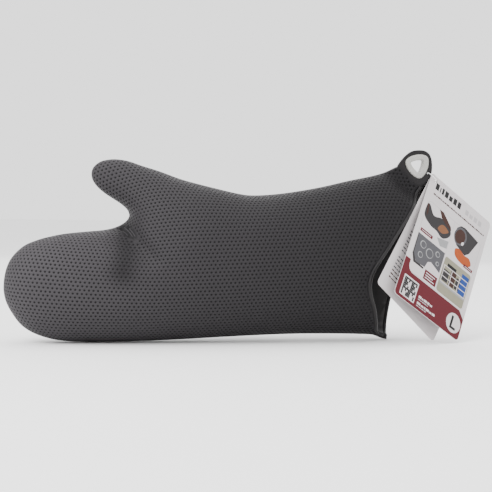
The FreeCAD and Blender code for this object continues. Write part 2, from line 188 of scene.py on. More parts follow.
# Spacing of the panels' points: along the seam, over the middle, and on rings beside the seam.
EDGE_STEP = 2.5
LATTICE_STEP = 4.0
LATTICE_MARGIN = 0.6 * LATTICE_STEP
LINE_CLEARANCE = 1.8
RING_DEPTHS = [0.25, 1.0, 2.3, 4.1, 6.4, 9.3, 12.8]
# How far a ring's point keeps from the boundary, from the hem's lines and from other points, as
# shares of its depth, and the most that the last two can be.
RING_FROM_EDGE = 0.88
RING_FROM_LINES = 0.5
RING_FROM_POINTS = 0.7
RING_SPREAD = 1.6
# Steps of a smooth line that is measured, and of one that is drawn finely.
FINE_STEP = 0.5
DRAWN_STEP = 1.0


# ------------------------------------------------------------------ sizes and colours a user can change

def length(name, description, value, low, high):
    """Length shown in the sidebar, given here in millimetres and kept in metres."""
    return FloatProperty(name=name, description=description, default=value * MM, min=low * MM,
                         max=high * MM, precision=5, step=0.01, subtype="DISTANCE", unit="LENGTH")


def in_millimetres(sizes):
    """Sizes of the sidebar as plain numbers in millimetres."""
    return SimpleNamespace(**{name: getattr(sizes, name) / MM for name in MittSizes.__annotations__})


def colour(name, description, value):
    """Linear colour, shown in the sidebar."""
    return FloatVectorProperty(name=name, description=description, default=value, min=0, max=1,
                               subtype="COLOR")


class MittSizes(bpy.types.PropertyGroup):
    """Sizes of the mitt's laminate and its moulded dimples"""
    dimple_pitch: length("Dimple pitch", "Distance between neighbouring dimples", 4.15, 2.5, 9)
    dimple_radius: length("Dimple radius", "Radius of a dimple at its rim", 1.12, 0.4, 2.5)
    dimple_depth: length("Dimple depth", "How far a dimple is pressed in", 0.5, 0.1, 0.9)
    skin_wall: length("Grip skin", "Thickness of the moulded skin", 1.0, 0.6, 2)
    foam_wall: length("Foam core", "Thickness of the foam", 3.0, 1, 6)
    lining_wall: length("Lining", "Thickness of the lining", 0.8, 0.4, 2)


class MittColours(bpy.types.PropertyGroup):
    """Base colours of the mitt's finishes"""
    grip: colour("Grip skin", "Moulded rubber of the panels", (0.050, 0.0465, 0.0505))
    hem: colour("Hem", "Smooth rubber of the cuff's edge", (0.010, 0.009, 0.0095))
    tab: colour("Tab", "Smooth rubber of the hanging tab", (0.006, 0.005, 0.0055))
    lining: colour("Lining", "Knit inside the cuff", (0.006, 0.005, 0.0055))
    eyelet: colour("Eyelet", "Moulded plastic of the eyelet", (0.30, 0.295, 0.275))
    card: colour("Card", "Paper of the tags", (0.46, 0.43, 0.435))
    ink: colour("Red ink", "Band and labels of the front tag", (0.070, 0.0008, 0.0055))


# ------------------------------------------------------------------ shader maths

class Value:
    """Output socket that can be used in sums, differences and products."""

    def __init__(self, shader, socket):
        self.shader = shader
        self.socket = socket

    def _maths(self, operation, *values):
        return self.shader.node("ShaderNodeMath", {"operation": operation}, dict(enumerate(values)))

    def __add__(self, other):
        return self._maths("ADD", self, other)

    def __radd__(self, other):
        return self._maths("ADD", other, self)

    def __sub__(self, other):
        return self._maths("SUBTRACT", self, other)

    def __rsub__(self, other):
        return self._maths("SUBTRACT", other, self)

    def __mul__(self, other):
        return self._maths("MULTIPLY", self, other)

    def __rmul__(self, other):
        return self._maths("MULTIPLY", other, self)


class Shader:
    """Material under construction, with one Principled surface."""

    def __init__(self, name):
        self.material = bpy.data.materials.new(name)
        self.material.use_nodes = True
        self.tree = self.material.node_tree
        self.surface = self.tree.nodes["Principled BSDF"]

    def node(self, kind, settings=None, inputs=None, output=0):
        """Add a node: its settings first, then the values or links of its sockets."""
        node = self.tree.nodes.new(kind)
        for key, value in (settings or {}).items():
            if key == "stops":
                self._stops(node.color_ramp, value)
            else:
                setattr(node, key, value)
        for key, value in (inputs or {}).items():
            self.feed(node.inputs[key], value)
        return Value(self, node.outputs[output])

    def _stops(self, ramp, stops):
        while len(ramp.elements) < len(stops):
            ramp.elements.new(1.0)
        for element, (position, tone) in zip(ramp.elements, stops):
            element.position = position
            element.color = tone

    def feed(self, socket, value):
        """Link an output to a socket, or set a plain value."""
        if isinstance(value, Value):
            self.tree.links.new(value.socket, socket)
        else:
            socket.default_value = value

    def principled(self, **sockets):
        """Set the surface's sockets; an underscore stands for a space."""
        for key, value in sockets.items():
            self.feed(self.surface.inputs[key.replace("_", " ")], value)
        return self.material

    def place(self):
        """Place on the piece, in metres."""
        return self.node("ShaderNodeTexCoord", output="Object")

    def noise(self, scale, detail=3.0, roughness=0.55):
        return self.node("ShaderNodeTexNoise", None, {
            "Vector": self.place(), "Scale": scale, "Detail": detail, "Roughness": roughness})

    def cells(self, scale):
        return self.node("ShaderNodeTexVoronoi", None, {"Vector": self.place(), "Scale": scale})

    def ramp(self, value, *stops):
        """Grey ramp; each stop is a position and a tone."""
        stops = [(at, (tone, tone, tone, 1)) for at, tone in stops]
        return self.node("ShaderNodeValToRGB", {"stops": stops}, {"Fac": value})

    def mix(self, factor, first, second):
        """Colour that goes from the first to the second as the factor rises."""
        return self.node("ShaderNodeMix", {"data_type": "RGBA"},
                         {0: factor, 6: rgba(first), 7: rgba(second)}, output=2)

    def bump(self, height, distance, strength=1.0, normal=None):
        inputs = {"Height": height, "Distance": distance, "Strength": strength}
        if normal:
            inputs["Normal"] = normal
        return self.node("ShaderNodeBump", None, inputs)


def rgba(tone):
    """Colour with full alpha; a socket is passed on as it is."""
    return tone if isinstance(tone, Value) else (*tone[:3], 1.0)


def shade(tone, share):
    """The same colour, lighter or darker."""
    return tuple(min(1.0, channel * share) for channel in tone[:3])


def grip_material(tone):
    """Matt moulded rubber: fine grain, painted light towards the fingers fading to painted shade towards the
    cuff, and painted shade in the dimples, the creases and beside the thumb's fold.
    """
    shader = Shader("grip_rubber")
    grain = shader.noise(2600, 2.0)
    patches = shader.noise(14, 4.0, 0.6)
    speckle = shader.ramp(shader.cells(900), (0.0, 0.0), (0.55, 1.0))
    # Painted light and shade along the mitt: lighter towards the fingers and darker towards the cuff, as if
    # lit from the left.
    along = shader.node("ShaderNodeSeparateXYZ", None, {0: shader.place()}, output="X")
    reach = shader.node("ShaderNodeMapRange", None, {
        "Value": along, "From Min": -0.24, "From Max": 0.17, "To Min": 0.0, "To Max": 1.0})
    painted_light_falloff = shader.ramp(reach, (0.0, 1.0), (0.22, 0.72), (0.45, 0.40), (0.72, 0.16), (0.92, 0.03),
                        (1.0, 0.02))
    ground = shader.mix(painted_light_falloff, shade(tone, 0.04), shade(tone, 1.0))
    clouded = shader.mix(patches * 0.5, ground, shade(tone, 0.30))
    flecked = shader.mix(speckle * 0.05, clouded, shade(tone, 1.9))
    # Painted shade in the dimples, along the creases and beside the thumb's fold, read from a point
    # attribute.
    pit = shader.node("ShaderNodeAttribute", {"attribute_name": "pit"}, output="Fac")
    final = shader.mix(pit * 0.85, flecked, shade(tone, 0.05))
    rough = 0.50 + 0.14 * patches
    first = shader.bump(grain, 0.00006, 0.5)
    return shader.principled(Base_Color=final, Roughness=rough, Specular_IOR_Level=0.10,
                             Normal=shader.bump(speckle, 0.00005, 0.35, first))


def smooth_rubber_material(name, tone, gloss):
    """Smooth satin rubber with faint handling marks."""
    shader = Shader(name)
    marks = shader.noise(60, 5.0, 0.65)
    fine = shader.noise(1900, 2.0)
    tint = shader.mix(shader.ramp(marks, (0.38, 0.0), (0.66, 1.0)), shade(tone, 0.85), shade(tone, 1.3))
    return shader.principled(Base_Color=tint, Roughness=gloss + 0.16 * marks, Specular_IOR_Level=0.2,
                             Normal=shader.bump(fine, 0.00004, 0.4))


def foam_material():
    """Closed-cell foam: dark, matt and finely pitted."""
    shader = Shader("foam")
    cells = shader.cells(1500)
    tint = shader.mix(cells, (0.020, 0.019, 0.020), (0.060, 0.057, 0.060))
    return shader.principled(Base_Color=tint, Roughness=0.86, Normal=shader.bump(cells, 0.0002, 0.8))


def lining_material(tone):
    """Fine black knit: crossed ribs with a little fuzz."""
    shader = Shader("lining_knit")
    ribs = shader.node("ShaderNodeTexWave", {"wave_type": "BANDS", "bands_direction": "X"}, {
        "Vector": shader.place(), "Scale": 320.0, "Distortion": 1.2, "Detail": 2.0, "Detail Scale": 3.0})
    rows = shader.node("ShaderNodeTexWave", {"wave_type": "BANDS", "bands_direction": "Z"}, {
        "Vector": shader.place(), "Scale": 260.0, "Distortion": 1.0, "Detail": 1.0})
    fuzz = shader.noise(700, 3.0)
    weave = ribs * 0.6 + rows * 0.4
    tint = shader.mix(weave, shade(tone, 0.7), shade(tone, 1.5))
    return shader.principled(Base_Color=tint, Roughness=0.66 + 0.2 * fuzz, Sheen_Weight=0.12,
                             Normal=shader.bump(weave + fuzz * 0.5, 0.00012, 0.6))


def seam_material():
    """Bonded edge tape, dark and slightly uneven."""
    shader = Shader("seam_tape")
    twist = shader.noise(900, 4.0)
    tint = shader.mix(twist, (0.018, 0.016, 0.018), (0.070, 0.065, 0.070))
    return shader.principled(Base_Color=tint, Roughness=0.62, Normal=shader.bump(twist, 0.0002, 0.7))


def eyelet_material(tone):
    """Satin moulded plastic with a faint flow pattern."""
    shader = Shader("eyelet_plastic")
    flow = shader.noise(90, 4.0, 0.6)
    fine = shader.noise(1600, 2.0)
    tint = shader.mix(shader.ramp(flow, (0.35, 0.0), (0.7, 1.0)), shade(tone, 0.93), shade(tone, 1.07))
    return shader.principled(Base_Color=tint, Roughness=0.30 + 0.12 * flow,
                             Subsurface_Weight=0.08, Subsurface_Radius=(0.002, 0.002, 0.0015),
                             Subsurface_Scale=0.5, Normal=shader.bump(fine, 0.00003, 0.3))


def nylon_material():
    """Clear moulded nylon, a little milky."""
    shader = Shader("loop_nylon")
    cloud = shader.noise(400, 3.0)
    tint = shader.mix(cloud, (0.80, 0.80, 0.78), (0.93, 0.93, 0.92))
    return shader.principled(Base_Color=tint, Roughness=0.18 + 0.12 * cloud, Transmission_Weight=0.35,
                             IOR=1.5, Subsurface_Weight=0.2, Subsurface_Radius=(0.002, 0.002, 0.002))


def card_material(tone):
    """Coated card: nearly smooth, with faint fibres and a slight mottling."""
    shader = Shader("tag_card")
    fibre = shader.noise(520, 5.0, 0.7)
    mottle = shader.noise(45, 3.0)
    tint = shader.mix(shader.ramp(mottle, (0.3, 0.0), (0.7, 1.0)), shade(tone, 0.965), shade(tone, 1.03))
    return shader.principled(Base_Color=tint, Roughness=0.30 + 0.10 * fibre, Specular_IOR_Level=0.5,
                             Normal=shader.bump(fibre, 0.00002, 0.3))


def ink_material(name, tone, variation=0.12):
    """Printed ink on coated card, with slight uneven cover."""
    shader = Shader(name)
    cover = shader.noise(300, 4.0, 0.7)
    tint = shader.mix(cover, shade(tone, 1 - variation), shade(tone, 1 + variation))
    return shader.principled(Base_Color=tint, Roughness=0.36 + 0.10 * cover, Specular_IOR_Level=0.2)


# ------------------------------------------------------------------ lines and distances

# Straight pieces between two given points of a smooth line, before it is divided evenly.
CURVE_STEPS = 24


def smooth_line(points, step, closed=False):
    """Points about one step apart on a smooth curve through the given points."""
    knots = np.array(points, float)
    if closed:
        knots = np.vstack([knots[-1:], knots, knots[:2]])
    else:
        knots = np.vstack([2 * knots[:1] - knots[1:2], knots, 2 * knots[-1:] - knots[-2:-1]])
    pieces = []
    for before, start, end, after in zip(knots, knots[1:], knots[2:], knots[3:]):
        share = np.linspace(0, 1, CURVE_STEPS, endpoint=False)[:, None]
        span = np.linalg.norm(end - start)
        into = (end - before) * span / (span + np.linalg.norm(start - before))
        out = (after - start) * span / (span + np.linalg.norm(after - end))
        square, cube = share ** 2, share ** 3
        pieces.append((2 * cube - 3 * square + 1) * start + (cube - 2 * square + share) * into
                      + (3 * square - 2 * cube) * end + (cube - square) * out)
    fine = np.vstack(pieces + [knots[-2:-1]])
    run = np.concatenate([[0], np.cumsum(np.linalg.norm(np.diff(fine, axis=0), axis=1))])
    count = max(3, int(round(run[-1] / step)))
    at = np.linspace(0, run[-1], count + 1)
    line = np.column_stack([np.interp(at, run, fine[:, axis]) for axis in range(2)])
    return line[:-1] if closed else line


def graded_line(points, count):
    """Smooth line whose points crowd towards both ends."""
    fine = smooth_line(points, FINE_STEP)
    run = np.linspace(0, 1, len(fine))
    at = np.sin(np.linspace(0, math.pi / 2, count + 1)) ** 2
    return np.column_stack([np.interp(at, run, fine[:, axis]) for axis in range(2)])


def distance_to(points, line, closed=False):
    """Distance of each point from a line of straight pieces."""
    line = np.array(line, float)
    if closed:
        line = np.vstack([line, line[:1]])
    best = np.full(len(points), 1e9)
    for start, end in zip(line, line[1:]):
        along = end - start
        share = np.clip((points - start) @ along / max(along @ along, 1e-12), 0, 1)
        best = np.minimum(best, np.linalg.norm(points - start - share[:, None] * along, axis=1))
    return best


def inside(points, loop):
    """Which points lie inside a closed line."""
    result = np.zeros(len(points), bool)
    x, z = points[:, 0], points[:, 1]
    for (x0, z0), (x1, z1) in zip(loop, np.roll(loop, -1, axis=0)):
        if z0 != z1:
            crossing = (z0 > z) != (z1 > z)
            result ^= crossing & (x < (x1 - x0) * (z - z0) / (z1 - z0) + x0)
    return result


def smoothstep(value):
    """Smooth rise from 0 to 1 while the value goes from 0 to 1."""
    value = np.clip(value, 0, 1)
    return value * value * (3 - 2 * value)


def outward_of(loop):
    """Unit normals of a clockwise closed line, pointing out of it."""
    along = np.roll(loop, -1, axis=0) - np.roll(loop, 1, axis=0)
    normals = np.column_stack([-along[:, 1], along[:, 0]])
    return normals / np.maximum(np.linalg.norm(normals, axis=1), 1e-9)[:, None]


def hexagon_lattice(low, high, pitch):
    """Points of a hexagonal lattice that covers a rectangle."""
    rows = np.arange(low[1], high[1], pitch * math.sqrt(3) / 2)
    points = []
    for number, z in enumerate(rows):
        x = np.arange(low[0] + (number % 2) * pitch / 2, high[0], pitch)
        points.append(np.column_stack([x, np.full(len(x), z)]))
    return np.vstack(points)


def filled(points, edges, loop):
    """Triangles that fill a loop of point numbers; each is turned anticlockwise."""
    vectors = [Vector((float(x), float(z))) for x, z in points]
    result = delaunay_2d_cdt(vectors, edges, [loop], 1, 1e-6)
    first = [origins[0] if origins else -1 for origins in result[3]]
    triangles = np.array([[first[corner] for corner in face] for face in result[2] if len(face) == 3])
    if (triangles < 0).any():
        raise RuntimeError("two lines of the pattern cross")
    a, b, c = (points[triangles[:, corner]] for corner in range(3))
    turned = np.cross(b - a, c - a) < 0
    triangles[turned] = triangles[turned][:, ::-1]
    return triangles


# ------------------------------------------------------------------ sparse sums on a triangle mesh

# Least stiffness of a spring, and the energy at which the sums have settled.
SOFTEST = 0.02
SETTLED = 1e-16


class Springs:
    """Symmetric springs between the points of a mesh, one for each side of each triangle."""

    def __init__(self, corners, triangles):
        self.count = len(corners)
        heads, tails, weights = [], [], []
        for corner in range(3):
            at, start, end = (triangles[:, (corner + turn) % 3] for turn in range(3))
            u, v = corners[start] - corners[at], corners[end] - corners[at]
            across = np.linalg.norm(np.cross(u, v), axis=-1) if u.shape[1] == 3 else np.abs(np.cross(u, v))
            weights.append(np.maximum((u * v).sum(1) / np.maximum(across, 1e-9), SOFTEST) / 2)
            heads.append(start)
            tails.append(end)
        self.parts = list(zip(heads, tails, weights))
        head, tail, weight = (np.concatenate(group) for group in (heads, tails, weights))
        self.head, self.tail = np.concatenate([head, tail]), np.concatenate([tail, head])
        self.weight = np.concatenate([weight, weight])
        self.stiffness = np.bincount(self.head, self.weight, self.count)

    def pull(self, values):
        """What each point feels from its neighbours."""
        return self.stiffness * values - np.bincount(
            self.head, self.weight * values[self.tail], self.count)

    def solve(self, load, start, free, rounds):
        """Conjugate gradients, with the points that aren't free held where they start."""
        values = start.copy()
        rest = np.where(free, load - self.pull(values), 0)
        scaled = rest / self.stiffness
        way = scaled.copy()
        energy = rest @ scaled
        for _ in range(rounds):
            if energy < SETTLED:
                break
            pulled = np.where(free, self.pull(way), 0)
            step = energy / (way @ pulled)
            values += step * way
            rest -= step * pulled
            scaled = rest / self.stiffness
            following = rest @ scaled
            way = scaled + following / energy * way
            energy = following
        return values


# ------------------------------------------------------------------ one panel of the mitt

def valley_share(points):
    """Share of full depth in the valley from beside the thumb into the palm, wider towards the fingers."""
    line = smooth_line(VALLEY, DRAWN_STEP)
    along = (VALLEY[0][1] - points[:, 1]) / (VALLEY[0][1] - VALLEY[-1][1])
    middle = np.interp(-points[:, 1], [-z for _, z in VALLEY], [x for x, _ in VALLEY])
    width = np.where(points[:, 0] < middle, VALLEY_FINGER_SIDE, VALLEY_ARM_SIDE)
    return smoothstep(VALLEY_END - along) * np.exp(-(distance_to(points, line) / width) ** 2)


def unevenness(points):
    """Crossing waves, from about -1.6 to 1.6, that keep the stuffed panels from looking cast."""
    x, z = points[:, 0], points[:, 1]
    return np.sin(x / 23 + 1.3) * np.sin(z / 17 + 0.4) + 0.6 * np.sin(x / 11 - z / 19)


# Rounds of the sums that inflate a panel and lay its skin flat.
INFLATE_ROUNDS = 900
FLATTEN_PASSES = 50
FLATTEN_ROUNDS = 60
# Which way the panels face at the cuff's lower corner, and the height up to which a point of the
# outline still lies at the seam.
EAR_NORMAL = (0.35, 0, -0.94)
AT_SEAM = 0.5


class Panel:
    """Domed sheet of one side: its pattern, its height over the seam plane and its flat cut."""

    def __init__(self, side):
        self.side = side
        self.turn = -1.0 if side == "near" else 1.0
        self._pattern()
        self._heights()
        self._normals()
        self._cut()

    def _pattern(self):
        """Lay out the points and triangles of the panel, hem strip included, seen from the side."""
        seam = smooth_line(SEAM_OUTLINE, EDGE_STEP)
        tab = smooth_line(TAB_LINE + [HEM_TOP[self.side]], EDGE_STEP)[1:]
        rim = graded_line([EAR] + RIM_MIDDLE[self.side] + [RIM_TOP[self.side]], HEM_STEPS)
        hem_middle = [(x - HEM_WIDTH, z) for x, z in RIM_MIDDLE[self.side]]
        if self.side == "near":
            hem_middle = hem_middle[1:]
        hem = graded_line([SEAM_OUTLINE[0]] + hem_middle + [HEM_TOP[self.side]], HEM_STEPS)
        points = [seam, tab, hem[-2:0:-1], rim]
        starts = np.cumsum([0] + [len(part) for part in points])
        fixed = np.vstack(points)
        seam_count, hem_top = len(seam), starts[2] - 1
        self.hem_line = [0] + list(range(starts[3] - 1, starts[2] - 1, -1)) + [hem_top]
        self.rim_line = list(range(starts[3], starts[4]))
        self.loop = list(range(starts[3]))
        whole_loop = list(range(starts[2])) + self.rim_line[::-1]
        boundary = fixed[whole_loop]
        inner = [self._rings(seam, boundary, fixed[starts[1]:])]
        lattice = hexagon_lattice(boundary.min(0), boundary.max(0), LATTICE_STEP)
        lattice = lattice[inside(lattice, boundary)]
        far_off = distance_to(lattice, seam) > RING_DEPTHS[-1] + LATTICE_MARGIN
        for line in (fixed[self.hem_line], fixed[self.rim_line], tab):
            far_off &= distance_to(lattice, line) > LINE_CLEARANCE
        inner.append(lattice[far_off])
        self.flat = np.vstack([fixed] + inner)
        edges = list(zip(self.hem_line, self.hem_line[1:]))
        edges += zip(whole_loop, whole_loop[1:] + whole_loop[:1])
        self.triangles = filled(self.flat, edges, whole_loop)
        self.on_seam = np.zeros(len(self.flat), bool)
        self.on_seam[:seam_count] = True
        self.on_seam[self.rim_line[0]] = True
        self.on_tab = np.zeros(len(self.flat), bool)
        self.on_tab[starts[1]:starts[2]] = True
        self.on_tab[self.rim_line[-1]] = True
        self.seam_count = seam_count
        middle = self.flat[self.triangles].mean(1)
        self.in_skin = inside(middle, self.flat[self.loop])

    def _rings(self, seam, boundary, lines):
        """Points on lines that run beside the seam, closer together towards it."""
        outward = outward_of(seam)
        outward[0], outward[-1] = outward[1], outward[-2]
        kept = np.zeros((0, 2))
        for depth in RING_DEPTHS:
            ring = seam[1:-1] - outward[1:-1] * depth
            ring = ring[inside(ring, boundary)]
            ring = ring[distance_to(ring, boundary, True) > RING_FROM_EDGE * depth]
            ring = ring[distance_to(ring, lines) > min(RING_SPREAD, RING_FROM_LINES * depth)]
            spread = min(RING_SPREAD, RING_FROM_POINTS * depth)
            for point in ring:
                if not len(kept) or np.linalg.norm(kept - point, axis=1).min() > spread:
                    kept = np.vstack([kept, point])
        return kept

    def _heights(self):
        """Inflate the pattern like a membrane, then flatten it to the tab and press in the valley."""
        share = np.interp(self.flat[:, 0], DEPTH_AT, DEPTH_SHARE)
        if self.side == "far":
            share = share * FAR_DEPTH
        a, b, c = (self.flat[self.triangles[:, corner]] for corner in range(3))
        area = np.abs(np.cross(b - a, c - a)) / 2
        squared = (share ** 2)[self.triangles].mean(1)
        load = np.zeros(len(self.flat))
        for corner in range(3):
            load += np.bincount(self.triangles[:, corner], 2 * squared * area / 3, len(self.flat))
        held = self.on_seam | self.on_tab
        springs = Springs(self.flat, self.triangles)
        pressure = springs.solve(load, np.zeros(len(self.flat)), ~held, INFLATE_ROUNDS)
        height = np.sqrt(np.maximum(pressure, 0))
        tab = smooth_line(TAB_LINE + [HEM_TOP[self.side], RIM_TOP[self.side]], DRAWN_STEP)
        near_tab = distance_to(self.flat, tab)
        rise = TAB_RISE * (1 - smoothstep(near_tab / TAB_REACH))
        height = np.hypot(height * smoothstep(near_tab / TAB_REACH), rise)
        height -= VALLEY_DEPTH[self.side] * valley_share(self.flat) * smoothstep(height / VALLEY_FULL_AT)
        height += WAVE_HEIGHT * unevenness(self.flat) * smoothstep(height / WAVE_FULL_AT)
        self.height = np.maximum(height, 0)
        self.solid = np.column_stack([self.flat[:, 0], self.turn * (HALF_SEAM + self.height),
                                      self.flat[:, 1]])

    def _normals(self):
        """Outward unit normals; at the seam they lie in the seam plane."""
        a, b, c = (self.solid[self.triangles[:, corner]] for corner in range(3))
        face = np.cross(b - a, c - a)
        face[face[:, 1] * self.turn < 0] *= -1
        normal = np.zeros((len(self.flat), 3))
        for corner in range(3):
            for axis in range(3):
                normal[:, axis] += np.bincount(self.triangles[:, corner], face[:, axis], len(self.flat))
        outward = outward_of(self.flat[self.loop])[:self.seam_count]
        low = self.height[:self.seam_count] < AT_SEAM
        numbers = np.arange(self.seam_count)[low]
        normal[numbers] = np.column_stack([outward[low, 0], np.zeros(low.sum()), outward[low, 1]])
        normal[self.rim_line[0]] = EAR_NORMAL
        self.normal = normal / np.linalg.norm(normal, axis=1)[:, None]

    def _cut(self):
        """Lay the skin flat with as little stretch as possible, for a pattern of even dimples.

        Each pass turns every triangle's own flat plan to fit, then moves the points towards the plans.
        """
        triangles = self.triangles[self.in_skin]
        springs = Springs(self.solid, triangles)
        used = np.zeros(len(self.flat), bool)
        used[triangles] = True
        springs.stiffness[~used] = 1.0
        plan = self._separate_plans(triangles)
        laid = self.flat.copy()
        free = used.copy()
        free[self.loop[len(self.loop) // 3]] = False
        for _ in range(FLATTEN_PASSES):
            load = self._pull_to_plans(springs, triangles, plan, laid)
            for axis in range(2):
                laid[:, axis] = springs.solve(load[:, axis], laid[:, axis], free, FLATTEN_ROUNDS)
        self.laid = laid
        self.skin_triangles = triangles

    def _separate_plans(self, triangles):
        """Each triangle by itself, laid flat at its true size."""
        a, b, c = (self.solid[triangles[:, corner]] for corner in range(3))
        base = np.linalg.norm(b - a, axis=1)
        first = (b - a) / base[:, None]
        along = ((c - a) * first).sum(1)
        up = np.linalg.norm((c - a) - along[:, None] * first, axis=1)
        return np.stack([np.zeros((len(a), 2)), np.column_stack([base, np.zeros(len(a))]),
                         np.column_stack([along, up])], axis=1)

    def _pull_to_plans(self, springs, triangles, plan, laid):
        """Load on each laid point from its triangles, each plan turned to fit what is laid."""
        spin_cos, spin_sin = np.zeros(len(plan)), np.zeros(len(plan))
        for corner, (_, _, weight) in enumerate(springs.parts):
            i, j = (corner + 1) % 3, (corner + 2) % 3
            edge = plan[:, i] - plan[:, j]
            now = laid[triangles[:, i]] - laid[triangles[:, j]]
            spin_cos += weight * (edge * now).sum(1)
            spin_sin += weight * (edge[:, 0] * now[:, 1] - edge[:, 1] * now[:, 0])
        size = np.maximum(np.hypot(spin_cos, spin_sin), 1e-12)
        spin_cos, spin_sin = spin_cos / size, spin_sin / size
        load = np.zeros((len(laid), 2))
        for corner, (head, tail, weight) in enumerate(springs.parts):
            edge = plan[:, (corner + 1) % 3] - plan[:, (corner + 2) % 3]
            turned = np.column_stack([spin_cos * edge[:, 0] - spin_sin * edge[:, 1],
                                      spin_sin * edge[:, 0] + spin_cos * edge[:, 1]])
            for axis in range(2):
                load[:, axis] += np.bincount(head, weight * turned[:, axis], len(laid))
                load[:, axis] -= np.bincount(tail, weight * turned[:, axis], len(laid))
        return load

    def raised(self, offset, numbers=slice(None)):
        """Points of the panel moved along their normals, kept on their own side of the seam."""
        moved = self.solid[numbers] + offset * self.normal[numbers]
        moved[:, 1] = self.turn * np.maximum(self.turn * moved[:, 1], HALF_SEAM - SEAM_BITE)
        return moved


PANELS = {}


def panel(side):
    """The panel of one side, worked out once."""
    if side not in PANELS:
        PANELS[side] = Panel(side)
    return PANELS[side]


# ------------------------------------------------------------------ making objects

def select_only(piece):
    """Make one object the only selected and the active one."""
    bpy.ops.object.select_all(action="DESELECT")
    piece.select_set(True)
    bpy.context.view_layer.objects.active = piece


def new_piece(name, points, faces, material, body, replaced=(), smooth=True, angle=None):
    """Mesh object from millimetre points, with its finish, riding on a body of the frame."""
    mesh = bpy.data.meshes.new(name)
    mesh.from_pydata((np.array(points, float) * MM + ORIGIN).tolist(), [], faces)
    mesh.validate()
    mesh.update()
    piece = bpy.data.objects.new(name, mesh)
    bpy.context.scene.collection.objects.link(piece)
    materials = material if isinstance(material, list) else [material]
    for each in materials:
        mesh.materials.append(each)
    if smooth:
        mesh.shade_smooth()
    if angle:
        select_only(piece)
        bpy.ops.object.shade_smooth_by_angle(angle=math.radians(angle))
    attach(piece, body)
    if replaced:
        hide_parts(*replaced)
    return piece


def face_outward(triangles, side):
    """Near triangles are anticlockwise seen from the side; far ones are turned over."""
    return triangles if side == "near" else triangles[:, ::-1]


def shell_between(sheet, outer, inner):
    """Closed sheet from its outer and inner points, which follow the same pattern."""
    triangles = sheet.skin_triangles
    used = np.unique(triangles)
    renumber = np.zeros(len(sheet.flat), int)
    renumber[used] = np.arange(len(used))
    count = len(used)
    top = face_outward(renumber[triangles], sheet.side)
    loop = renumber[np.array(sheet.loop)]
    following = np.roll(loop, -1)
    if sheet.side == "near":
        wall = np.column_stack([loop, following, following + count, loop + count])
    else:
        wall = np.column_stack([following, loop, loop + count, following + count])
    faces = top.tolist() + (top[:, ::-1] + count).tolist() + wall.tolist()
    return np.vstack([outer[used], inner[used]]), faces


def crease_share(points, side):
    """Share of full depth in the short sharp creases beside the thumb, at points seen from the side."""
    depth = np.zeros(len(points))
    if side == "far":
        return depth
    for line in CREASE_LINES:
        fine = smooth_line(line, FINE_STEP)
        start, end = np.array(line[0]), np.array(line[-1])
        along = np.clip((points - start) @ (end - start) / ((end - start) @ (end - start)), 0, 1)
        depth += (1 - smoothstep(2 * along - 1)) * np.exp(-(distance_to(points, fine) / CREASE_WIDTH) ** 2)
    return np.minimum(depth, 1)


def crease_rows(sheet):
    """Places on the flat cut along the bottom and both edges of each crease."""
    kept = np.zeros((0, 2))
    if sheet.side == "far":
        return kept
    for shift in (0, -CREASE_EDGE, CREASE_EDGE):
        for line in CREASE_LINES:
            fine = smooth_line(line, CREASE_STEP)
            along = np.gradient(fine, axis=0)
            across = np.column_stack([-along[:, 1], along[:, 0]])
            for point in fine + across * shift / CREASE_STEP:
                if not len(kept) or np.linalg.norm(kept - point, axis=1).min() > CREASE_GAP:
                    kept = np.vstack([kept, point])
    corners, share = found_on(sheet.flat, sheet.skin_triangles, kept)
    return (share[:, :, None] * sheet.laid[corners]).sum(1)


# Corners of a dimple, its floor's radius as a share of its rim's, and the plain skin along an edge.
DIMPLE_SIDES = 8
DIMPLE_FLOOR = 0.74
PLAIN_EDGE = 0.55


def dimple_centres(sheet, sizes, creases):
    """Middles of the dimples on the flat cut, clear of its edge and of the creases."""
    loop = sheet.laid[sheet.loop]
    centres = hexagon_lattice(loop.min(0), loop.max(0), sizes.dimple_pitch)
    centres = centres[inside(centres, loop)]
    centres = centres[distance_to(centres, loop, True) > sizes.dimple_radius + PLAIN_EDGE]
    if len(creases):
        clear = np.linalg.norm(centres[:, None] - creases, axis=2).min(1)
        centres = centres[clear > sizes.dimple_radius]
    return centres


def dimpled_skin(sheet, sizes):
    """Moulded skin of one panel: a hexagonal pattern of round dimples, closed behind."""
    creases = crease_rows(sheet)
    centres = dimple_centres(sheet, sizes, creases)
    angles = np.arange(DIMPLE_SIDES) * 2 * math.pi / DIMPLE_SIDES
    circle = np.column_stack([np.cos(angles), np.sin(angles)])
    rims = (centres[:, None] + circle * sizes.dimple_radius).reshape(-1, 2)
    floors = (centres[:, None] + circle * sizes.dimple_radius * DIMPLE_FLOOR).reshape(-1, 2)
    count, edge_count = len(rims), len(sheet.loop)
    surface, normals, seen = on_panel(sheet, np.vstack([rims, floors, creases]))
    floor = np.zeros(len(surface))
    floor[count:2 * count] = 1
    crease = crease_share(seen, sheet.side)
    surface -= normals * (sizes.dimple_depth * floor + CREASE_DEPTH * crease)[:, None]
    surface[:, 1] = sheet.turn * np.maximum(sheet.turn * surface[:, 1], HALF_SEAM)
    backs = np.unique(sheet.skin_triangles)
    points = np.vstack([sheet.raised(0, sheet.loop), surface, sheet.raised(-sizes.skin_wall, backs)])
    faces = front_faces(sheet, rims, creases) + back_faces(sheet, backs, edge_count + len(surface))
    # Painted shade: dimple floors, crease bottoms and the patch beside the thumb's fold are darkened where
    # shade falls.
    pit = np.zeros(len(points))
    pit[edge_count:edge_count + len(surface)] = np.clip(
        np.maximum(floor, crease) + fold_shade(seen, sheet.side), 0, 1)
    return points, faces, pit


def fold_shade(points, side):
    """Painted shade beside the thumb's fold, where the fingers' slope faces away from the light, at points
    seen from the side.
    """
    if side == "far":
        return 0.0
    line = smooth_line(FOLD_SHADE, DRAWN_STEP)
    return FOLD_SHADE_TONE * np.exp(-(distance_to(points, line) / FOLD_SHADE_WIDTH) ** 2)


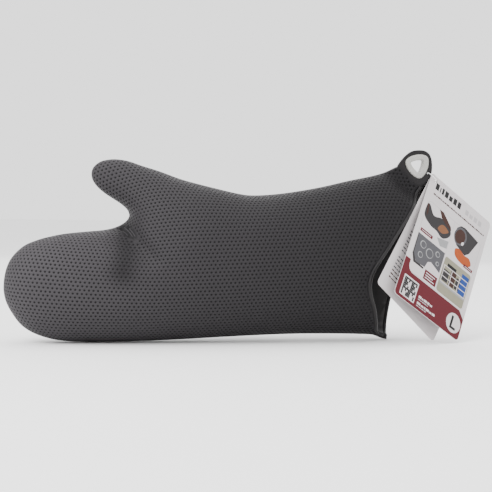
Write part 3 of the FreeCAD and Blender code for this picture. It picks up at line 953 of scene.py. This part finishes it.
def front_faces(sheet, rims, creases):
    """Faces of the skin's outside: the web between the dimples, and their walls and floors.

    The points are numbered from the panel's edge through the rims and the floors to the creases.
    """
    count, edge_count = len(rims), len(sheet.loop)
    ground = np.vstack([sheet.laid[sheet.loop], rims, creases])
    edges = [(number, (number + 1) % edge_count) for number in range(edge_count)]
    web = filled(ground, edges, list(range(edge_count)))
    owner = (web - edge_count) // DIMPLE_SIDES
    in_dimple = ((web >= edge_count) & (web < edge_count + count)).all(1)
    in_dimple &= (owner[:, 0] == owner[:, 1]) & (owner[:, 1] == owner[:, 2])
    web = face_outward(web[~in_dimple], sheet.side)
    web[web >= edge_count + count] += count
    ring = edge_count + np.arange(count).reshape(-1, DIMPLE_SIDES)
    ring_next = np.roll(ring, -1, axis=1)
    walls = np.stack([ring, ring_next, ring_next + count, ring + count], axis=2).reshape(-1, 4)
    bottoms = ring + count
    if sheet.side == "far":
        walls, bottoms = walls[:, ::-1], bottoms[:, ::-1]
    return web.tolist() + walls.tolist() + bottoms.tolist()


def back_faces(sheet, backs, start):
    """Faces of the skin's inside, whose points are numbered from start, and of the edge round it."""
    renumber = np.zeros(len(sheet.flat), int)
    renumber[backs] = start + np.arange(len(backs))
    back = face_outward(renumber[sheet.skin_triangles], sheet.side)[:, ::-1]
    edge = np.arange(len(sheet.loop))
    behind = renumber[np.array(sheet.loop)]
    wall = [edge, np.roll(edge, -1), np.roll(behind, -1), behind]
    if sheet.side == "far":
        wall = wall[::-1]
    return back.tolist() + np.column_stack(wall).tolist()


def found_on(layout, triangles, places):
    """Corner numbers of the triangle under each place of a flat layout, and the share of each corner."""
    tree = BVHTree.FromPolygons([(x, z, 0.0) for x, z in layout], triangles.tolist())
    found = [tree.find_nearest((x, z, 0.0)) for x, z in places.tolist()]
    corners = triangles[[hit[2] for hit in found]]
    a, b, c = (layout[corners[:, corner]] for corner in range(3))
    share = np.column_stack([np.cross(b - places, c - places), np.cross(c - places, a - places),
                             np.cross(a - places, b - places)]) / np.cross(b - a, c - a)[:, None]
    share = np.clip(share, 0, 1)
    return corners, share / share.sum(1)[:, None]


# How far a triangle of the panel is rounded out towards its corners' tangent planes.
BULGE = 0.65


def on_panel(sheet, places):
    """Points, normals and side-view places of the domed panel at places on its flat cut."""
    corners, share = found_on(sheet.laid, sheet.skin_triangles, places)
    solid, normal = sheet.solid[corners], sheet.normal[corners]
    straight = (share[:, :, None] * solid).sum(1)
    height = ((straight[:, None] - solid) * normal).sum(2)
    bulged = straight - ((share * height)[:, :, None] * normal).sum(1)
    normals = (share[:, :, None] * normal).sum(1)
    normals /= np.linalg.norm(normals, axis=1)[:, None]
    seen = (share[:, :, None] * sheet.flat[corners]).sum(1)
    return (1 - BULGE) * straight + BULGE * bulged, normals, seen


def swept(sections, closed=False):
    """Closed skin over a row of equal loops of points."""
    count, size = len(sections), len(sections[0])
    points = np.vstack(sections)
    faces = []
    for row in range(count if closed else count - 1):
        here, there = row * size, (row + 1) % count * size
        for number in range(size):
            after = (number + 1) % size
            faces.append([here + number, here + after, there + after, there + number])
    if not closed:
        faces.append(list(range(size))[::-1])
        faces.append([(count - 1) * size + number for number in range(size)])
    return points, faces


def turned_out(points, faces):
    """Faces of a closed skin, all turned over if its volume comes out negative."""
    volume = 0.0
    for face in faces:
        for second, third in zip(face[1:], face[2:]):
            volume += np.dot(points[face[0]], np.cross(points[second], points[third]))
    return faces if volume > 0 else [face[::-1] for face in faces]


def plate(loops, low_y, high_y, rounding):
    """Flat sheet between two depths, with rounded edges; the first loop is its outline, others are holes."""
    steps = [(1.0, 0.0), (0.3, 0.3), (0.0, 1.0)]  # corner of the edge: shares of the rounding, in and up
    profile = [(inset * rounding, low_y + drop * rounding) for inset, drop in steps]
    profile += [(inset * rounding, high_y - drop * rounding) for inset, drop in steps[::-1]]
    rings, starts, total = [], [], 0
    for number, loop in enumerate(loops):
        outward = outward_of(loop) * (1 if number == 0 else -1)
        starts.append(total)
        for inset, y in profile:
            moved = loop - outward * inset
            rings.append(np.column_stack([moved[:, 0], np.full(len(loop), y), moved[:, 1]]))
        total += len(loop) * len(profile)
    points, faces = np.vstack(rings), []
    for loop, start in zip(loops, starts):
        size = len(loop)
        for row in range(len(profile) - 1):
            for number in range(size):
                after = (number + 1) % size
                here, there = start + row * size, start + (row + 1) * size
                faces.append([here + number, here + after, there + after, there + number])
    for row, turn in ((0, 1), (len(profile) - 1, -1)):
        caps = [start + row * len(loop) + np.arange(len(loop)) for loop, start in zip(loops, starts)]
        numbers = np.concatenate(caps)
        flat = points[numbers][:, [0, 2]]
        local = np.split(np.arange(len(numbers)), np.cumsum([len(cap) for cap in caps])[:-1])
        edges = [(int(a), int(b)) for part in local for a, b in zip(part, np.roll(part, -1))]
        web = filled(flat, edges, local[0].tolist())
        middle = flat[web].mean(1)
        for part in local[1:]:
            web = web[~inside(middle, flat[part])]
            middle = flat[web].mean(1)
        faces += numbers[web][:, ::turn].tolist()
    return points, faces


def made_consistent(piece):
    """Turn every face of a closed piece outward."""
    select_only(piece)
    bpy.ops.object.mode_set(mode="EDIT")
    bpy.ops.mesh.select_all(action="SELECT")
    bpy.ops.mesh.normals_make_consistent(inside=False)
    bpy.ops.object.mode_set(mode="OBJECT")


# ------------------------------------------------------------------ panels: skins, foam, linings, hems

class MITT_OT_grip_skins(bpy.types.Operator):
    """Mould the dimpled grip skins of both panels"""
    bl_idname = "mitt.grip_skins"
    bl_label = "Grip skins"

    def execute(self, context):
        material = grip_material(context.scene.mitt_colours.grip)
        for side in ("near", "far"):
            points, faces, pit = dimpled_skin(panel(side), in_millimetres(context.scene.mitt_sizes))
            piece = new_piece(side + "_skin", points, faces, material, "mitt",
                              [side + "_grip_skin"])
            # Point attribute of painted shade, which the grip material darkens by.
            piece.data.attributes.new("pit", "FLOAT", "POINT").data.foreach_set("value", pit)
        return {"FINISHED"}


# Gap between the foam and the sheets on either side.
LAYER_GAP = 0.02


class MITT_OT_foam_cores(bpy.types.Operator):
    """Fill each panel with its foam core"""
    bl_idname = "mitt.foam_cores"
    bl_label = "Foam cores"

    def execute(self, context):
        sizes, material = in_millimetres(context.scene.mitt_sizes), foam_material()
        for side in ("near", "far"):
            sheet = panel(side)
            deep = sizes.skin_wall + sizes.foam_wall
            outer = sheet.raised(-sizes.skin_wall - LAYER_GAP)
            inner = sheet.raised(-deep + LAYER_GAP)
            points, faces = shell_between(sheet, outer, inner)
            piece = new_piece(side + "_foam", points, faces, material, "mitt",
                              [side + "_foam_core"])
        return {"FINISHED"}


class MITT_OT_linings(bpy.types.Operator):
    """Line each panel with smooth knit"""
    bl_idname = "mitt.linings"
    bl_label = "Linings"

    def execute(self, context):
        sizes = in_millimetres(context.scene.mitt_sizes)
        material = lining_material(context.scene.mitt_colours.lining)
        for side in ("near", "far"):
            sheet = panel(side)
            deep = sizes.skin_wall + sizes.foam_wall
            outer, inner = sheet.raised(-deep), sheet.raised(-deep - sizes.lining_wall)
            points, faces = shell_between(sheet, outer, inner)
            new_piece(side + "_knit", points, faces, material, "mitt", [side + "_lining"])
        return {"FINISHED"}


# Hem section: share of the way from the panel to the rim, and height over the panel's surface.
HEM_SECTION = [(0.0, 0.10), (0.12, 0.42), (0.45, 0.55), (0.80, 0.35), (0.96, -0.35), (1.0, -1.5),
               (1.0, -3.6), (0.95, -4.6), (0.75, -5.1), (0.30, -5.15), (0.0, -4.9)]


class MITT_OT_hems(bpy.types.Operator):
    """Run a smooth hem along the cuff's open edge"""
    bl_idname = "mitt.hems"
    bl_label = "Hems"

    def execute(self, context):
        material = smooth_rubber_material("hem_rubber", context.scene.mitt_colours.hem, 0.38)
        for side in ("near", "far"):
            sheet = panel(side)
            sections = []
            for share, offset in HEM_SECTION:
                ends = [sheet.raised(offset, line) for line in (sheet.hem_line, sheet.rim_line)]
                sections.append(ends[0] * (1 - share) + ends[1] * share)
            points, faces = swept(list(np.stack(sections, axis=1)))
            piece = new_piece(side + "_cuff_hem", points, turned_out(points, faces), material, "mitt",
                              [side + "_hem"])
            made_consistent(piece)
        return {"FINISHED"}


# Seam section: distance out from the outline, and distance from the seam plane.
SEAM_SECTION = [(0.55, 0.0), (0.42, 0.42), (0.05, 0.72), (-0.6, 0.58), (-4.2, 0.5),
                (-4.2, -0.5), (-0.6, -0.58), (0.05, -0.72), (0.42, -0.42)]


class MITT_OT_seam(bpy.types.Operator):
    """Close the panels with a bonded seam along their outline"""
    bl_idname = "mitt.seam"
    bl_label = "Seam"

    def execute(self, context):
        line = smooth_line([EAR] + SEAM_OUTLINE, EDGE_STEP / 2)
        outward = outward_of(line)
        outward[0], outward[-1] = outward[1], outward[-2]
        loops = []
        for place, way in zip(line, outward):
            loops.append([(place[0] + way[0] * out, y, place[1] + way[1] * out) for out, y in SEAM_SECTION])
        points, faces = swept(loops)
        piece = new_piece("seam_tape", points, turned_out(points, faces), seam_material(), "mitt",
                          ["seam_strip"])
        made_consistent(piece)
        return {"FINISHED"}


# ------------------------------------------------------------------ tab and eyelet

def eyelet_loop(reach):
    """Rounded three-sided line about the eyelet's centre, clockwise; reach is from centre to side."""
    angles = -np.arange(EYELET_STEPS) * 2 * math.pi / EYELET_STEPS
    radii = [np.full(EYELET_STEPS, reach + EYELET_CORNER)]
    away = EYELET_CURVE - reach
    for number in range(3):
        middle = math.radians(EYELET_TURN + 60 + 120 * number)
        turn = angles - middle
        radii.append(-away * np.cos(turn) + np.sqrt(EYELET_CURVE ** 2 - (away * np.sin(turn)) ** 2))
    radius = (np.array(radii) ** -EYELET_BLEND).sum(0) ** (-1 / EYELET_BLEND)
    radius *= reach / radius.min()
    return np.column_stack([EYELET_AT[0] + radius * np.cos(angles),
                            EYELET_AT[1] + radius * np.sin(angles)])


def ringed(profile):
    """Closed skin through eyelet lines; each profile point is a reach and a depth."""
    loops = []
    for reach, y in profile:
        line = eyelet_loop(reach)
        loops.append(np.column_stack([line[:, 0], np.full(len(line), y), line[:, 1]]))
    points, faces = swept(loops, closed=True)
    return points, turned_out(points, faces)


class MITT_OT_tabs(bpy.types.Operator):
    """Cut the two layers of the hanging tab, punched for the eyelet and the tag loop"""
    bl_idname = "mitt.tabs"
    bl_label = "Hanging tab"

    def execute(self, context):
        material = smooth_rubber_material("tab_rubber", context.scene.mitt_colours.tab, 0.34)
        angles = -np.arange(PUNCH_STEPS) * 2 * math.pi / PUNCH_STEPS
        fall = math.radians(LOOP_FALL)
        centre = np.array(LOOP_AT) + PUNCH_IN * np.array([math.cos(fall), -math.sin(fall)])
        punch = centre + PUNCH_RADIUS * np.column_stack([np.cos(angles), np.sin(angles)])
        bore = eyelet_loop(EYELET_HOLE + EYELET_WALL + EYELET_PLAY)
        for side, low, high in (("near", -TAB_LAYER, -TAB_GAP), ("far", TAB_GAP, TAB_LAYER)):
            outline = smooth_line(TAB_OUTLINE[side], DRAWN_STEP, closed=True)
            points, faces = plate([outline, bore, punch], low, high, TAB_ROUNDING)
            piece = new_piece(side + "_tab_layer", points, faces, material, "mitt",
                              [side + "_tab"])
            made_consistent(piece)
        return {"FINISHED"}


class MITT_OT_eyelet(bpy.types.Operator):
    """Press the three-sided eyelet through the tab"""
    bl_idname = "mitt.eyelet"
    bl_label = "Eyelet"

    def execute(self, context):
        material = eyelet_material(context.scene.mitt_colours.eyelet)
        hole, wall = EYELET_HOLE, EYELET_HOLE + EYELET_WALL
        face, back = -TAB_LAYER, TAB_LAYER + WASHER_RISE
        # Each point of a profile is its reach from the centre and its depth.
        front = [(hole, back), (hole, face - 0.4), (hole + 0.25, face - 1.0), (hole + 0.8, face - 1.25),
                 (hole + 2.0, face - 1.35), (hole + 4.3, face - 1.6), (hole + 4.9, face - 1.55),
                 (hole + 5.4, face - 1.1), (hole + 5.75, face - 0.45), (hole + 5.8, face - EYELET_LIFT),
                 (wall, face - EYELET_LIFT), (wall, back - 0.3), (hole + 0.9, back)]
        points, faces = ringed(front)
        new_piece("eyelet_flange", points, faces, material, "mitt",
                  ["eyelet_front"], angle=EYELET_CREASE)
        seat, foot = wall + EYELET_PLAY, TAB_LAYER + EYELET_LIFT
        washer = [(seat, foot), (seat, back - 0.35), (seat + 0.35, back), (seat + 2.5, back),
                  (seat + 3.1, back - 0.3), (seat + 3.35, back - 0.9), (seat + 3.35, foot)]
        points, faces = ringed(washer)
        new_piece("eyelet_washer", points, faces, material, "mitt",
                  ["eyelet_back"], angle=EYELET_CREASE)
        return {"FINISHED"}


# ------------------------------------------------------------------ what is printed on the tags
# Every shape is in millimetres from the card's top left corner, across and down, on its printed side.
# A list of printing holds an ink, a layer number (higher layers lie on top) and an outline for each shape.

INKS = {
    "black": (0.004, 0.004, 0.004), "slate": (0.016, 0.014, 0.015), "steel": (0.055, 0.054, 0.060),
    "silver": (0.22, 0.22, 0.225), "pale": (0.33, 0.315, 0.32), "brown": (0.026, 0.0075, 0.004),
    "tan": (0.14, 0.055, 0.022), "orange": (0.27, 0.045, 0.004), "blue": (0.008, 0.035, 0.17),
    "stone": (0.19, 0.18, 0.13),
}
# How much higher each layer of ink lies than the one below.
INK_STEP = 0.012


def bar(left, top, right, bottom):
    """Upright rectangle."""
    return [(left, top), (right, top), (right, bottom), (left, bottom)]


def quarter(turn, across, down, radius):
    """Quarter of a circle, from an angle in degrees."""
    angles = [math.radians(turn + 15 * step) for step in range(7)]
    return [(across + radius * math.cos(angle), down + radius * math.sin(angle)) for angle in angles]


def rounded(left, top, right, bottom, radius):
    """Rectangle with rounded corners."""
    corners = ((180, left + radius, top + radius), (270, right - radius, top + radius),
               (0, right - radius, bottom - radius), (90, left + radius, bottom - radius))
    return [point for turn, x, y in corners for point in quarter(turn, x, y, radius)]


# Sides of a printed circle.
DISC_STEPS = 32


def disc(across, down, radius):
    """Circle."""
    turns = [2 * math.pi * number / DISC_STEPS for number in range(DISC_STEPS)]
    return [(across + radius * math.cos(turn), down + radius * math.sin(turn)) for turn in turns]


def blob(points, step=1.5):
    """Smooth closed outline through the points."""
    return smooth_line(points, step, closed=True).tolist()


def word_marks(left, top, widths, height, gap=0.9):
    """Row of plain upright marks that stands for a word."""
    marks = []
    for number, width in enumerate(widths):
        drop = 0.22 * height if number % 3 == 1 else 0.0
        marks.append(bar(left, top + drop, left + width, top + height))
        left += width + gap
    return marks


def front_print():
    """Generic printing of the front tag: title, strapline, four pictures and a red band."""
    shapes = [("black", 1, mark) for mark in word_marks(10, 5.8, [5, 1.5, 3, 5, 5, 5, 5], 7.4, 1.7)]
    shapes += [("pale", 1, mark) for mark in word_marks(57.5, 7.6, [5, 5, 5, 5], 5.8, 2.0)]
    shapes += [("brown", 1, mark) for mark in word_marks(10, 18.4, [3.4, 2.2, 4.2, 1.6] * 6, 1.7, 0.55)]
    shapes.append(("pale", 1, rounded(6, 29.4, 91, 113, 5.5)))
    shapes.append(("white", 2, rounded(6.4, 29.8, 90.6, 112.6, 5.2)))
    shapes.append(("pale", 3, bar(47.9, 30, 48.2, 70)))
    shapes += picture_of_hands() + picture_of_cup() + picture_of_mitt() + picture_of_shelf()
    shapes += red_band()
    return shapes


def picture_of_hands():
    """Upper left picture: a folded mitt over a pale board, with its caption."""
    return [
        ("silver", 3, [(31, 60), (47.4, 55), (47.4, 64), (38, 66.5)]),
        ("slate", 4, blob([(7, 48), (6.8, 33.5), (10, 33), (18.9, 41), (31, 37.5), (46, 43), (46.6, 49.5),
                           (37.9, 57), (27.7, 54.3), (18.7, 53.8)])),
        ("brown", 5, [(24, 30), (30.3, 30), (44.8, 38.8), (46.6, 42.8), (37.1, 40.6), (29.5, 36.8)]),
        ("brown", 5, [(7, 34), (8.6, 33.4), (10.6, 43), (9.2, 47)]),
        ("tan", 5, blob([(28.4, 50.6), (33.8, 43), (43.7, 45.6), (40, 50), (35, 52.4)])),
        ("red", 6, bar(7.6, 62.6, 25.8, 66.4)),
        ("white", 7, bar(9.6, 64.1, 23.4, 64.8)),
    ]


def picture_of_cup():
    """Upper right picture: a dark open cuff over an orange shape, with its caption."""
    return [
        ("slate", 3, [(52, 40.5), (53.2, 33.5), (58, 28.5), (64, 27.4), (86.4, 31), (78.5, 50.4), (72.8, 56),
                      (58.3, 52)]),
        ("steel", 4, blob([(51.4, 41), (56.5, 31), (65.5, 30.7), (70, 38.7), (66, 48), (56.4, 50.4)])),
        ("brown", 5, blob([(53, 41.4), (57.4, 33), (64.6, 32.8), (67.8, 39), (64.4, 46.6), (57, 48.6)])),
        ("white", 6, blob([(64, 46.8), (66.2, 43.4), (68, 44.4), (66.2, 48.2)])),
        ("orange", 5, blob([(58.4, 56.4), (64, 53.6), (72.4, 56), (80.4, 55.5), (85, 61), (80, 65.6),
                            (70, 66.4), (60.5, 63.2)])),
        ("red", 6, bar(75.5, 64.6, 89.2, 68)),
        ("white", 7, bar(77.5, 66, 87.4, 66.6)),
    ]


def picture_of_mitt():
    """Lower left picture: a mitt laid flat with round marks, with its caption."""
    shapes = [
        ("slate", 3, [(6.6, 69.4), (9, 69.4), (9.4, 92), (13, 99), (26, 100), (25.9, 102), (11, 102),
                      (6.8, 94)]),
        ("steel", 4, [(7.4, 69.4), (47.4, 69.4), (47.4, 93.5), (33, 89.2), (29, 91.5), (26.9, 99),
                      (14, 100), (8.2, 92)]),
        ("red", 6, bar(29, 100, 47.2, 110.6)),
    ]
    rings = ((17, 78, 4.2), (28, 82, 5.2), (38.5, 76.5, 3.2), (17, 90, 3.4), (41.5, 86, 2.4))
    for across, down, radius in rings:
        shapes.append(("silver", 5, disc(across, down, radius)))
        shapes.append(("steel", 6, disc(across + 0.3, down, radius - 0.8)))
    for row in range(3):
        shapes.append(("white", 7, bar(31, 102.2 + 2.7 * row, 44.5 - 2.6 * (row % 2), 103.2 + 2.7 * row)))
    return shapes


def picture_of_shelf():
    """Lower right picture: shelves with coloured boxes."""
    shapes = [
        ("stone", 3, rounded(49.2, 71, 89.6, 111.6, 3.0)),
        ("slate", 4, bar(50.4, 84.5, 60.6, 97.5)), ("brown", 4, bar(62, 80.5, 70.4, 98)),
        ("black", 4, bar(55, 76.5, 68.6, 81)), ("slate", 4, bar(71.4, 84, 78.2, 97)),
        ("blue", 5, bar(77.6, 75.5, 88.2, 98.6)), ("silver", 4, bar(51, 99.2, 88.6, 101.6)),
    ]
    for number in range(4):
        shapes.append(("white", 6, bar(50.6, 80.2 + 6.2 * number, 88.8, 81.0 + 6.2 * number)))
        shapes.append(("white", 6, bar(51 + 12.2 * number, 80.2, 51.8 + 12.2 * number, 99.4)))
    return shapes


def red_band():
    """Band along the foot with a strip up the left edge, a pale patch, two lines and a size letter."""
    outline = [(0.3, 101.5), (7.6, 101.5), (7.6, 106)]
    for step in range(1, 7):
        angle = math.radians(15 * step)
        outline.append((15.1 - 7.5 * math.cos(angle), 106 + 7.8 * math.sin(angle)))
    outline += [(87.2, 113.8), (95.6, 120.6), (95.6, 140.7)]
    outline += quarter(0, 91.8, 140.8, 3.9) + quarter(90, 4.2, 140.8, 3.9)
    shapes = [("red", 3, outline), ("white", 4, rounded(6, 119, 27.2, 141.4, 0.8))]
    for row in range(9):
        for column in range(9):
            if (3 * row * column + 7 * row + 5 * column + row // 2) % 5 < 3:
                left, top = 7.4 + 2.06 * column, 120.6 + 2.18 * row
                shapes.append(("black", 5, bar(left, top, left + 1.98, top + 2.1)))
    shapes += [("white", 4, mark) for mark in word_marks(31, 129.6, [4, 2, 4.5, 3, 3.4], 2.4, 0.8)]
    shapes += [("pale", 4, mark) for mark in word_marks(31, 133.2, [3, 2, 2.5, 3, 2], 1.0, 0.6)]
    shapes += [("white", 4, mark) for mark in word_marks(31, 136.6, [5, 4, 2, 4.5, 3, 4], 2.4, 0.8)]
    shapes += [("pale", 4, mark) for mark in word_marks(31, 140.2, [3, 4, 2.5, 3], 1.0, 0.6)]
    shapes.append(("white", 4, disc(83.8, 130.6, 10.4)))
    letter = [(79.6, 123.6), (82.6, 123.6), (82.6, 134.8), (88.4, 134.8), (88.4, 137.6), (79.6, 137.6)]
    return shapes + [("black", 5, letter)]


def rear_print():
    """Lines of small print down the rear tag, in three paragraphs."""
    shapes = []
    for row in range(24):
        if row % 8 != 7:
            ink = "brown" if row > 19 else "steel"
            top = 38 + 4.1 * row
            widths = [4, 2.4, 5.2, 3, 4.4, 2, 3.6, 5] if row % 2 else [2.8, 4.6, 3.2, 5, 2.4, 4, 3]
            shapes += [(ink, 1, mark) for mark in word_marks(9, top, widths, 1.5, 0.8)]
    return shapes


def card_place(which):
    """Turn and hole centre of a card on the loop."""
    yaw, pitch, roll = (math.radians(turn) for turn in CARD_TURNS[which])
    turn = np.array(Euler((roll, pitch, yaw), "XYZ").to_matrix())
    fall, step = math.radians(LOOP_FALL), math.radians(CARD_STEPS[which])
    reach = LOOP_RADIUS * (1 + math.cos(step))
    centre = (LOOP_AT[0] + reach * math.cos(fall), LOOP_RADIUS * math.sin(step),
              LOOP_AT[1] - reach * math.sin(fall))
    return turn, np.array(centre)


def printed(name, which, shapes, inks):
    """One thin closed sheet of ink for each shape, bedded in the face of its card."""
    turn, centre = card_place(which)
    names = sorted({ink for ink, _, _ in shapes})
    points, faces, numbers = [], [], []
    for ink, layer, shape in shapes:
        flat = np.array(shape) * (1, -1) + (-CARD_HOLE_IN, CARD_HOLE_DOWN)
        following = np.roll(flat, -1, axis=0)
        if (flat[:, 0] * following[:, 1] - following[:, 0] * flat[:, 1]).sum() < 0:
            flat = flat[::-1]
        count, start = len(flat), sum(len(part) for part in points)
        heights = (CARD_THICKNESS / 2 + INK_STEP * layer, CARD_THICKNESS / 4)
        for height in heights:
            points.append(centre + np.column_stack([np.full(count, height), flat]) @ turn.T)
        web = filled(flat, [(edge, (edge + 1) % count) for edge in range(count)], list(range(count)))
        edge = np.arange(count)
        after = np.roll(edge, -1)
        walls = np.column_stack([edge, edge + count, after + count, after])
        made = web.tolist() + (web[:, ::-1] + count).tolist() + walls.tolist()
        faces += [[start + corner for corner in face] for face in made]
        numbers += [names.index(ink)] * len(made)
    piece = new_piece(name, np.vstack(points), faces, [inks[ink] for ink in names], which + "_card",
                      smooth=False)
    piece.data.polygons.foreach_set("material_index", numbers)


# ------------------------------------------------------------------ tags

class MITT_OT_tag_loop(bpy.types.Operator):
    """Thread the moulded nylon loop through the tab and both tags"""
    bl_idname = "mitt.tag_loop"
    bl_label = "Tag loop"

    def execute(self, context):
        fall = math.radians(LOOP_FALL)
        out = np.array([math.cos(fall), 0, -math.sin(fall)])
        side = np.array([0, 1.0, 0])
        lift = np.cross(out, side)
        centre = np.array([LOOP_AT[0], 0, LOOP_AT[1]]) + out * LOOP_RADIUS
        loops = []
        ring = np.arange(WIRE_STEPS) * 2 * math.pi / WIRE_STEPS
        for number in range(LOOP_STEPS):
            turn = 2 * math.pi * number / LOOP_STEPS
            way = math.cos(turn) * out + math.sin(turn) * side
            swell = LOOP_WIRE + LOCK_SWELL * math.exp(-((number - LOCK_AT) / LOCK_REACH) ** 4)
            loops.append(centre + way * LOOP_RADIUS + swell * (
                np.cos(ring)[:, None] * way + np.sin(ring)[:, None] * lift))
        points, faces = swept(loops, closed=True)
        new_piece("nylon_loop", points, turned_out(points, faces), nylon_material(), "loop",
                  ["tag_loop"])
        return {"FINISHED"}


class MITT_OT_cards(bpy.types.Operator):
    """Finish the two card tags and print them"""
    bl_idname = "mitt.cards"
    bl_label = "Card tags"

    def execute(self, context):
        colours = context.scene.mitt_colours
        card = card_material(colours.card)
        for node in ("front_tag", "rear_tag"):
            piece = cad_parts[node]
            piece.data.materials.clear()
            piece.data.materials.append(card)
        inks = {name: ink_material("ink_" + name, tone) for name, tone in INKS.items()}
        inks["red"] = ink_material("ink_red", tuple(colours.ink))
        inks["white"] = card
        printed("front_tag_print", "front", front_print(), inks)
        printed("rear_tag_print", "rear", rear_print(), inks)
        return {"FINISHED"}


# ------------------------------------------------------------------ stage

# Height of the point looked at and radius of the floor, in metres, and strength of the white sky.
LOOK_AT_HEIGHT = 0.095
FLOOR_RADIUS = 9.0
SKY_STRENGTH = 1.9
# Lamps: place from the point looked at, disk size and power.
LAMPS = {
    "key_light": ((-0.9, -0.75, 1.15), 1.1, 26),
    "top_light": ((0.1, 0.1, 1.5), 1.6, 16),
    "fill_light": ((1.3, -1.2, 0.5), 1.4, 7),
    "rim_light": ((0.3, 1.5, 0.6), 1.4, 8),
}
# Camera: turns in degrees round the mitt, above level and about its own line of sight, then distance
# in metres and focal length in millimetres.
CAMERA_AROUND = -10
CAMERA_ABOVE = 2
CAMERA_ROLL = 0.8
CAMERA_DISTANCE = 1.1
CAMERA_LENS = 80.5


class MITT_OT_stage(bpy.types.Operator):
    """Lay the pale floor, and set the lights and the camera"""
    bl_idname = "mitt.stage"
    bl_label = "Stage"

    def execute(self, context):
        scene = context.scene
        target = Vector(ORIGIN) + Vector((0, 0, LOOK_AT_HEIGHT))
        self._floor(target)
        for name, (place, size, power) in LAMPS.items():
            self._light(name, target + Vector(place), target, size, power)
        world = scene.world or bpy.data.worlds.new("studio")
        scene.world = world
        world.use_nodes = True
        background = world.node_tree.nodes["Background"]
        background.inputs["Color"].default_value = (1.0, 1.0, 1.0, 1)
        background.inputs["Strength"].default_value = SKY_STRENGTH
        self._camera(scene, target)
        return {"FINISHED"}

    def _floor(self, target):
        """Wide round sheet of pale paper."""
        bpy.ops.object.select_all(action="DESELECT")
        bpy.ops.mesh.primitive_circle_add(vertices=96, radius=FLOOR_RADIUS, fill_type="NGON",
                                          location=(target.x, target.y, 0))
        floor = bpy.context.active_object
        floor.name = "floor"
        shader = Shader("floor_paper")
        grain = shader.noise(6, 2.0)
        tint = shader.mix(grain, (0.90, 0.90, 0.90), (0.94, 0.94, 0.94))
        floor.data.materials.append(shader.principled(Base_Color=tint, Roughness=0.8))

    def _light(self, name, place, target, size, power):
        """Soft round lamp that points at the target."""
        data = bpy.data.lights.new(name, "AREA")
        data.shape = "DISK"
        data.size = size
        data.energy = power
        lamp = bpy.data.objects.new(name, data)
        lamp.location = place
        lamp.rotation_euler = (target - place).to_track_quat("-Z", "Y").to_euler()
        bpy.context.scene.collection.objects.link(lamp)

    def _camera(self, scene, target):
        """Long lens, a little above the floor and slightly tilted."""
        around, above, roll = (math.radians(turn) for turn in (CAMERA_AROUND, CAMERA_ABOVE, CAMERA_ROLL))
        back = Vector((math.sin(around) * math.cos(above), -math.cos(around) * math.cos(above),
                       math.sin(above)))
        level = Vector((math.cos(around), math.sin(around), 0))
        upright = level.cross(-back)
        right = level * math.cos(roll) + upright * math.sin(roll)
        up = upright * math.cos(roll) - level * math.sin(roll)
        data = bpy.data.cameras.new("camera")
        data.lens = CAMERA_LENS
        data.sensor_width = 36
        data.clip_start = 0.05
        data.clip_end = 60
        camera = bpy.data.objects.new("camera", data)
        camera.matrix_world = Matrix.Translation(target + back * CAMERA_DISTANCE) @ Matrix(
            (right, up, back)).transposed().to_4x4()
        scene.collection.objects.link(camera)
        scene.camera = camera


# ------------------------------------------------------------------ the add-on

OPERATORS = [MITT_OT_grip_skins, MITT_OT_foam_cores, MITT_OT_linings, MITT_OT_hems, MITT_OT_seam,
             MITT_OT_tabs, MITT_OT_eyelet, MITT_OT_tag_loop, MITT_OT_cards, MITT_OT_stage]


class VIEW3D_PT_mitt(bpy.types.Panel):
    """Sidebar panel with every piece of the mitt"""
    bl_label = "Oven mitt"
    bl_space_type = "VIEW_3D"
    bl_region_type = "UI"
    bl_category = "Mitt"

    def draw(self, context):
        for group in (context.scene.mitt_sizes, context.scene.mitt_colours):
            for name in group.bl_rna.properties.keys():
                if name not in ("rna_type", "name"):
                    self.layout.prop(group, name)
        for operator in OPERATORS:
            self.layout.operator(operator.bl_idname)


CLASSES = [MittSizes, MittColours] + OPERATORS + [VIEW3D_PT_mitt]


def register():
    for each in CLASSES:
        bpy.utils.register_class(each)
    bpy.types.Scene.mitt_sizes = PointerProperty(type=MittSizes)
    bpy.types.Scene.mitt_colours = PointerProperty(type=MittColours)


def unregister():
    del bpy.types.Scene.mitt_colours
    del bpy.types.Scene.mitt_sizes
    for each in reversed(CLASSES):
        bpy.utils.unregister_class(each)


def main():
    """Build every piece in order."""
    register()
    bpy.ops.mitt.grip_skins()
    bpy.ops.mitt.foam_cores()
    bpy.ops.mitt.linings()
    bpy.ops.mitt.hems()
    bpy.ops.mitt.seam()
    bpy.ops.mitt.tabs()
    bpy.ops.mitt.eyelet()
    bpy.ops.mitt.tag_loop()
    bpy.ops.mitt.cards()
    bpy.ops.mitt.stage()


if __name__ == "__main__":
    main()
